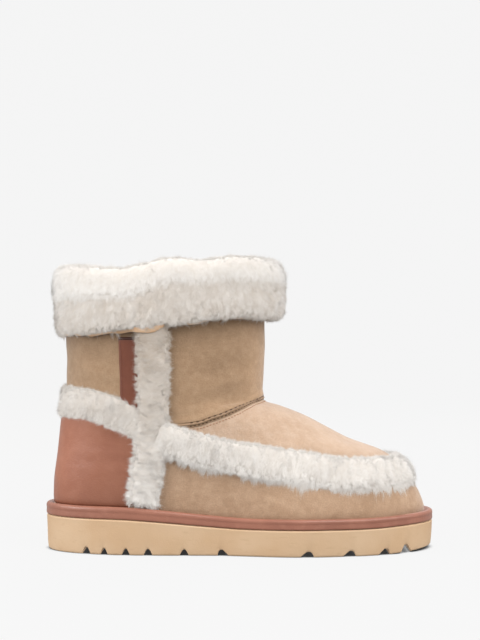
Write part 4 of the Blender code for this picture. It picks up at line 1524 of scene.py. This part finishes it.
def make_cuff():
    """The cuff: its ground, and the wool on its lower half, over its top and inside."""
    pile = cuff_pile()
    rows, columns = pile.points.shape[:2]
    made = add_mesh("cuff_ground", pile.points, grid_quads(rows, columns, round_rows=True))
    finish_piece(made, GROUND, ["cuff_pile"])

    def length(u, v):
        inside = ease(0.70, 0.80, v)
        uneven = 1 + 0.25 * noise2(u * 60, v * 9, 63, wrap=60)
        return (0.0021 - 0.0004 * inside) * uneven

    def sweep(u, v):
        along = 0.0010 * noise2(u * 46, v * 8, 64, wrap=46)
        down = -0.0032 * (1 - ease(0.5, 0.8, v)) * (0.35 + 0.65 * ease(0.0, 0.10, v))
        down = down - TUFT_LENGTH * np.exp(-(((u - TUFT_AT) / TUFT_WIDTH) ** 2)) * (1 - ease(0.0, 0.09, v))
        return along, down + 0.0006 * noise2(u * 52, v * 10, 65, wrap=52)

    def tone(u, v):
        """Paler above the fold, with painted shade on its crest and a painted shadow line just under the
        fold; below it tufted with soft grey, partly the cut hair's own and partly painted shade.
        """
        past = v - fold_at(u)
        low = 1 - ease(-0.060, 0.030, past)
        tufts = 0.5 + 0.5 * noise2(u * 95, v * 16, 66, wrap=95)
        fold = np.exp(-(((past + 0.02) / 0.02) ** 2))
        return 0.95 - low * (0.22 + 0.20 * tufts) - 0.04 * fold - 0.12 * hump(0.44, 0.58, 0.82, 0.92, v)

    def fall(u, v, tip_v):
        """Wool past the lower edge hangs down."""
        past = np.clip(-tip_v, 0, None) * pile.width
        return np.stack([np.zeros_like(u), np.zeros_like(u), -past], 1)

    dim_ground(made, pile, tone)
    rng = np.random.default_rng(71)
    for part, look in named_rows(CUFF_WOOL).items():
        grow(f"cuff_wool_{part}", pile, look, length, sweep, tone, rng, fall)


def make_hide_edge():
    """The cut edge of the cuff's skin, which shows below the pile."""
    phi = turn(540)
    s = (1 - np.cos(phi)) / 2
    bottom = cuff_edge("bottom", phi)
    t = table(SKIN_SHOWS)
    shows = 0.0004
    for i in range(len(t["shows"])):
        shows = shows + t["shows"][i] * hump(t["from"][i], t["full"][i], t["until"][i], t["gone"][i], s)
    over = SKIN_STANDS_OUT * hump(0.34, 0.39, 0.49, 0.53, s)
    low = bottom - shows - 0.0006 * noise2(phi * 60 / (2 * np.pi), np.zeros_like(phi), 81, wrap=60)
    t = table(SKIN_SECTION)
    points = np.stack([cuff_point(phi, low + up, over + out) for out, up in zip(t["out"], t["up"])], 1)
    made = add_mesh("hide_edge", points, grid_quads(*points.shape[:2], round_rows=True))
    finish_piece(made, HIDE_EDGE, ["cuff_hide"])


# A strip's section: across in half widths, and up in shares of its height.
DOME = """
across  up
-0.90   0.00
-0.92   0.22
-0.88   0.48
-0.74   0.76
-0.46   0.95
0.00    1.02
0.46    0.95
0.74    0.76
0.88    0.48
0.92    0.22
0.86    -0.25
"""
DOME_LINES = 31
DOME_TOP = 15

# The wool on each strip. Hang is how far it's combed down, fringe how far it goes past its lower edge, the
# two shades how far painted shade dims it at its first and last end (at an upright's top, the cuff's shadow),
# foot over how far its last end is rounded off, and curl how far its locks stand apart.
STRIPS = """
strip          seed  strands  scallop  hang    fringe  first_dusk  last_dusk  foot    curl
upright_outer  111   24000    0.10     0       0.0010  0.56        0          0.0035  2.6
upright_inner  101   20000    0.10     0       0.0010  0.56        0          0.0035  2.6
toe            121   86000    0.10     0.0012  0.0036  0.08        0.08       0       1
heel           131   26000    0.08     0.0010  0.0015  0.18        0.18       0       1
"""
STRIP_LOCK = 0.0030
STRIP_PULL = 0.24
SPLAY = 0.0016
TUFT_PITCH = 0.0075


def evened(lines, passes=8):
    """Lines of values with small steps along them smoothed out, and their ends kept."""
    for _ in range(passes):
        inner = (lines[..., :-2] + 2 * lines[..., 1:-1] + lines[..., 2:]) / 4
        lines = np.concatenate([lines[..., :1], inner, lines[..., -1:]], -1)
    return lines


def strip_pile(phi, z, tall, base, shift, seed, look):
    """A strip's surface: a plump section swept along its line, with swells and a wavy edge."""
    t = table(DOME)
    steps = np.arange(len(t["across"]), dtype=float)
    fine = np.linspace(0, steps[-1], DOME_LINES)
    across, up = smooth(steps, t["across"], fine), smooth(steps, t["up"], fine)
    u = np.linspace(0, 1, len(phi))
    wide_phi, wide_z = (evened(lines) for lines in ribbon(phi, z, across[:, None] + shift, STRIP_WIDTH))
    length = np.linalg.norm(np.diff(skin(phi, z), axis=0), axis=1).sum()
    wave = 1 + look["scallop"] * noise2(u * length / 0.012, np.zeros_like(u), seed)
    left = np.clip((1 - u) * length / look["foot"], 0, 1) if look["foot"] else np.ones_like(u)
    heights = base + tall * up[:, None] * (wave * np.sqrt(1 - (1 - left) ** 2))[None, :]
    points = evened(off_skin(wide_phi, wide_z, heights).transpose(2, 0, 1)).transpose(2, 1, 0)
    bare = Pile(points, False)
    way = 1 if (bare.normals[:, DOME_TOP] * normal(phi, z)).sum() > 0 else -1
    swell = 0.0007 * noise3(points, 0.010, seed + 1) + 0.0004 * noise3(points, 0.005, seed + 2)
    sunk = (swell - 0.0010) * np.clip(up * 3, 0, 1)[None, :]
    pile = Pile(points + way * bare.normals * sunk[..., None], False, way)
    core = bare.normals[:, DOME_TOP:DOME_TOP + 1] * way
    pile.light_as(0.5 * bare.normals * way + 0.5 * pile.normals, core, 0.65)
    return pile


def close_ends(made, pile):
    """Closes a strip's two ends with a face each."""
    rows, columns = pile.points.shape[:2]

    def cap(edit):
        edit.verts.ensure_lookup_table()
        for row in (0, rows - 1):
            edit.faces.new([edit.verts[row * columns + j] for j in range(columns)])

    rework(made, cap)


def make_strip(name, node, phi, z, tall, base=TRIM_BASE, shift=0):
    """A strip of sheepskin along a line over the upper, moved across it by shift in half widths."""
    look = named_rows(STRIPS)[name]
    seed, curl, foot = int(look["seed"]), look["curl"], look["foot"]
    pile = strip_pile(phi, z, tall, base, shift, seed, look)
    rows, columns = pile.points.shape[:2]
    made = add_mesh(f"{name}_ground", pile.points, grid_quads(rows, columns))
    close_ends(made, pile)
    finish_piece(made, GROUND, [node])

    def fringe(u, v, reach):
        """How far the tufts of the lower edge stand out."""
        tufts = 0.5 + 0.5 * noise2(u * pile.length / TUFT_PITCH, np.zeros_like(u), seed + 3)
        return look["fringe"] * tufts * (1 - ease(0.0, reach, v))

    def length(u, v):
        edge = np.abs(2 * v - 1)
        body = 0.0022 * curl ** 0.3 * (1 + 0.25 * noise2(u * pile.length / 0.006, v * 5, seed + 4))
        return body * (1 - 0.25 * ease(0.8, 1.0, edge)) + 0.5 * fringe(u, v, 0.30)

    def sweep(u, v):
        down = -look["hang"] * (1 - ease(0.35, 1.0, v)) - fringe(u, v, 0.34)
        down = down + SPLAY * (2 * v - 1) * ease(0.5, 1.0, np.abs(2 * v - 1))
        along = 0.0010 * noise2(u * pile.length / 0.008, v * 4, seed + 5)
        if foot:
            along = along + (0.0034 + 0.0014 * noise2(v * 5, 0 * v, seed + 9)) * ease(0.94, 1.0, u)
        return along, down + 0.0007 * noise2(u * pile.length / 0.007, v * 5, seed + 6)

    def tone(u, v):
        """Painted shade: a little greyer towards both edges and between the tufts, and dimmer towards an end
        as its shade sets.
        """
        edge = ease(0.55, 1.0, np.abs(2 * v - 1))
        tufts = 0.5 + 0.5 * noise2(u * pile.length / 0.0045, v * 7, seed + 8)
        dim = look["first_dusk"] * (1 - u) + look["last_dusk"] * u
        return 0.96 - 0.06 * edge - (0.06 + 0.30 * dim) * (tufts - 0.3 * dim) - dim

    def fall(u, v, tip_v):
        """Wool past the lower edge goes on down over the suede."""
        past = np.clip(-tip_v, 0, None) * pile.width
        edge, _ = pile.at(u, np.zeros_like(u))
        inner, _ = pile.at(u, np.full_like(u, 0.5))
        return unit(edge - inner) * past[:, None]

    dim_ground(made, pile, tone)
    rng = np.random.default_rng(seed + 7)
    look.update({"lock": STRIP_LOCK / curl ** 0.3, "pull": STRIP_PULL * curl ** 0.8})
    look.update({"width": STRAND_WIDTH, "from": 0.0, "to": 1.0})
    grow(f"{name}_wool", pile, look, length, sweep, tone, rng, fall)


# The uprights lie further forward than in the part, by this much at their top and at their foot, and their
# feet lie lower, down to the welt.
TOP_FORWARD = 0.0030
FOOT_FORWARD = 0.0020
FOOT_DROP = 0.0014
TOE_DOWN = 0.16  # how far the toe's strip lies lower in front, in half widths


def make_trim():
    """The four strips: both uprights, the toe's and the heel's."""
    for side, inner in (("outer", False), ("inner", True)):
        phi, z = resample(*upright_line(inner), 160)
        share = np.linspace(0, 1, len(z))
        forward = (TOP_FORWARD - (TOP_FORWARD - FOOT_FORWARD) * share) * (-1 if inner else 1)
        by_phi, _ = slopes(phi, z)
        phi = phi + forward / np.linalg.norm(by_phi, axis=-1)
        z = z - FOOT_DROP * ease(0.85, 1.0, share)
        make_strip(f"upright_{side}", f"trim_upright_{side}", phi, z, STRIP_HEIGHT)
    phi, z = resample(*front_line(), 420)
    x = skin(phi, z)[:, 0]
    base = TRIM_BASE + LAP * (1 - ease(along_x(0.40), along_x(0.46), x))
    down = -TOE_DOWN * ease(along_x(0.42), along_x(0.60), x)
    make_strip("toe", "trim_toe", phi, z, 0.8 * STRIP_HEIGHT, base, down)
    phi, z = resample(*rear_line(), 180)
    make_strip("heel", "trim_heel", phi, z, 0.7 * HEEL_PILE)


# Stage


FLOOR_SHADE = 0.02
FLOOR_GLOW = 0.895
CONTACT_REACH = 0.006
DARKEST = 0.03  # of the glow, where the sole shuts the floor in
SKY_ABOVE = 0.75
SKY_BELOW = 0.40
CAMERA_PLACE = (0.0, -1.135, 0.1615)
CAMERA_LENS = 89.6
CAMERA_SENSOR = 36.0

LAMPS = """
x     y     z    aim_z size power
0.65  -1.15 1.40 0.08  1.3  22.5
0.10  -0.20 1.80 0.08  1.2  6
1.40  -0.45 0.80 0.10  0.9  8
-1.30 -0.50 0.70 0.10  0.8  16
0.20  1.10  1.20 0.12  1.0  8
"""


def link_new(name, data):
    made = bpy.data.objects.new(name, data)
    bpy.context.scene.collection.objects.link(made)
    return made


def make_floor():
    """A pale bowl whose colour hardly depends on the light, so that it's as even as a cut-out's ground."""
    flat, bend, tall = 2.2, 1.2, 3.4
    profile = [(0.0, 0.0), (0.6, 0.0), (1.4, 0.0), (flat, 0.0)]
    bends = np.linspace(0.1, math.pi / 2, 16)
    profile += [(flat + bend * math.sin(a), bend * (1 - math.cos(a))) for a in bends]
    profile.append((flat + bend, tall))
    around = turn(96)
    points = np.array([[(r * math.cos(a), r * math.sin(a), z) for a in around] for r, z in profile])
    made = bpy.data.meshes.new("floor")
    quads = grid_quads(*points.shape[:2], round_columns=True)
    made.from_pydata(points.reshape(-1, 3).tolist(), [], quads.tolist())
    made.shade_smooth()
    floor = link_new("floor", made)
    shader = Shader("floor", 0.9)
    shader.colour((FLOOR_SHADE, FLOOR_SHADE, FLOOR_SHADE, 1.0))
    shader.set(Specular_IOR_Level=0.0, Emission_Color=(1.0, 1.0, 1.0, 1.0))
    # Painted contact shadow: the glow dims where the boot shuts the floor in, found by ambient occlusion.
    open_sky = shader.nodes.new("ShaderNodeAmbientOcclusion")
    open_sky.inputs["Distance"].default_value = CONTACT_REACH
    open_sky.samples = 12
    glow = shader.ramp(open_sky.outputs["AO"], 0.20, 0.70, DARKEST * FLOOR_GLOW, FLOOR_GLOW)
    shader.links.new(glow, shader.bsdf.inputs["Emission Strength"])
    made.materials.append(shader.material)
    floor.visible_diffuse = False
    floor.visible_glossy = False
    floor.visible_transmission = False
    floor.visible_shadow = False


def make_sky():
    """Even light from all round, stronger from above."""
    world = bpy.data.worlds.new("studio")
    bpy.context.scene.world = world
    world.use_nodes = True
    nodes, links = world.node_tree.nodes, world.node_tree.links
    place = nodes.new("ShaderNodeTexCoord")
    parts = nodes.new("ShaderNodeSeparateXYZ")
    ramp = nodes.new("ShaderNodeMapRange")
    ramp.inputs["From Min"].default_value = -1.0
    ramp.inputs["To Min"].default_value = SKY_BELOW
    ramp.inputs["To Max"].default_value = SKY_ABOVE
    links.new(place.outputs["Generated"], parts.inputs["Vector"])
    links.new(parts.outputs["Z"], ramp.inputs["Value"])
    links.new(ramp.outputs["Result"], nodes["Background"].inputs["Strength"])
    nodes["Background"].inputs["Color"].default_value = (1.0, 1.0, 1.0, 1.0)


def make_lamps():
    """Soft boxes, each aimed at a height over the boot's middle."""
    t = table(LAMPS)
    for i in range(len(t["x"])):
        place = np.array([t["x"][i], t["y"][i], t["z"][i]])
        way = np.array([0.0, 0.0, t["aim_z"][i]]) - place
        lamp = bpy.data.lights.new("lamp", "AREA")
        lamp.size = t["size"][i]
        lamp.energy = t["power"][i]
        holder = link_new("lamp", lamp)
        holder.location = place
        pitch = math.atan2(-way[2], math.hypot(way[0], way[1]))
        holder.rotation_euler = (math.pi / 2 - pitch, 0.0, math.atan2(way[1], way[0]) - math.pi / 2)
        holder.visible_camera = False


def make_camera():
    """Level, from the outer side."""
    camera = bpy.data.cameras.new("camera")
    camera.lens = CAMERA_LENS
    camera.sensor_width = CAMERA_SENSOR
    camera.clip_start = 0.05
    holder = link_new("camera", camera)
    holder.location = CAMERA_PLACE
    holder.rotation_euler = (math.pi / 2, 0.0, 0.0)
    bpy.context.scene.camera = holder
    bpy.context.scene.view_settings.view_transform = "Standard"


make_floor()
make_sky()
make_lamps()
make_camera()
make_sole()
make_welt()
make_insole()
make_lining()
make_foot_panels()
make_shaft()
make_seam_stitches()
make_counter()
make_tabs()
make_trim()
make_hide_edge()
make_cuff()
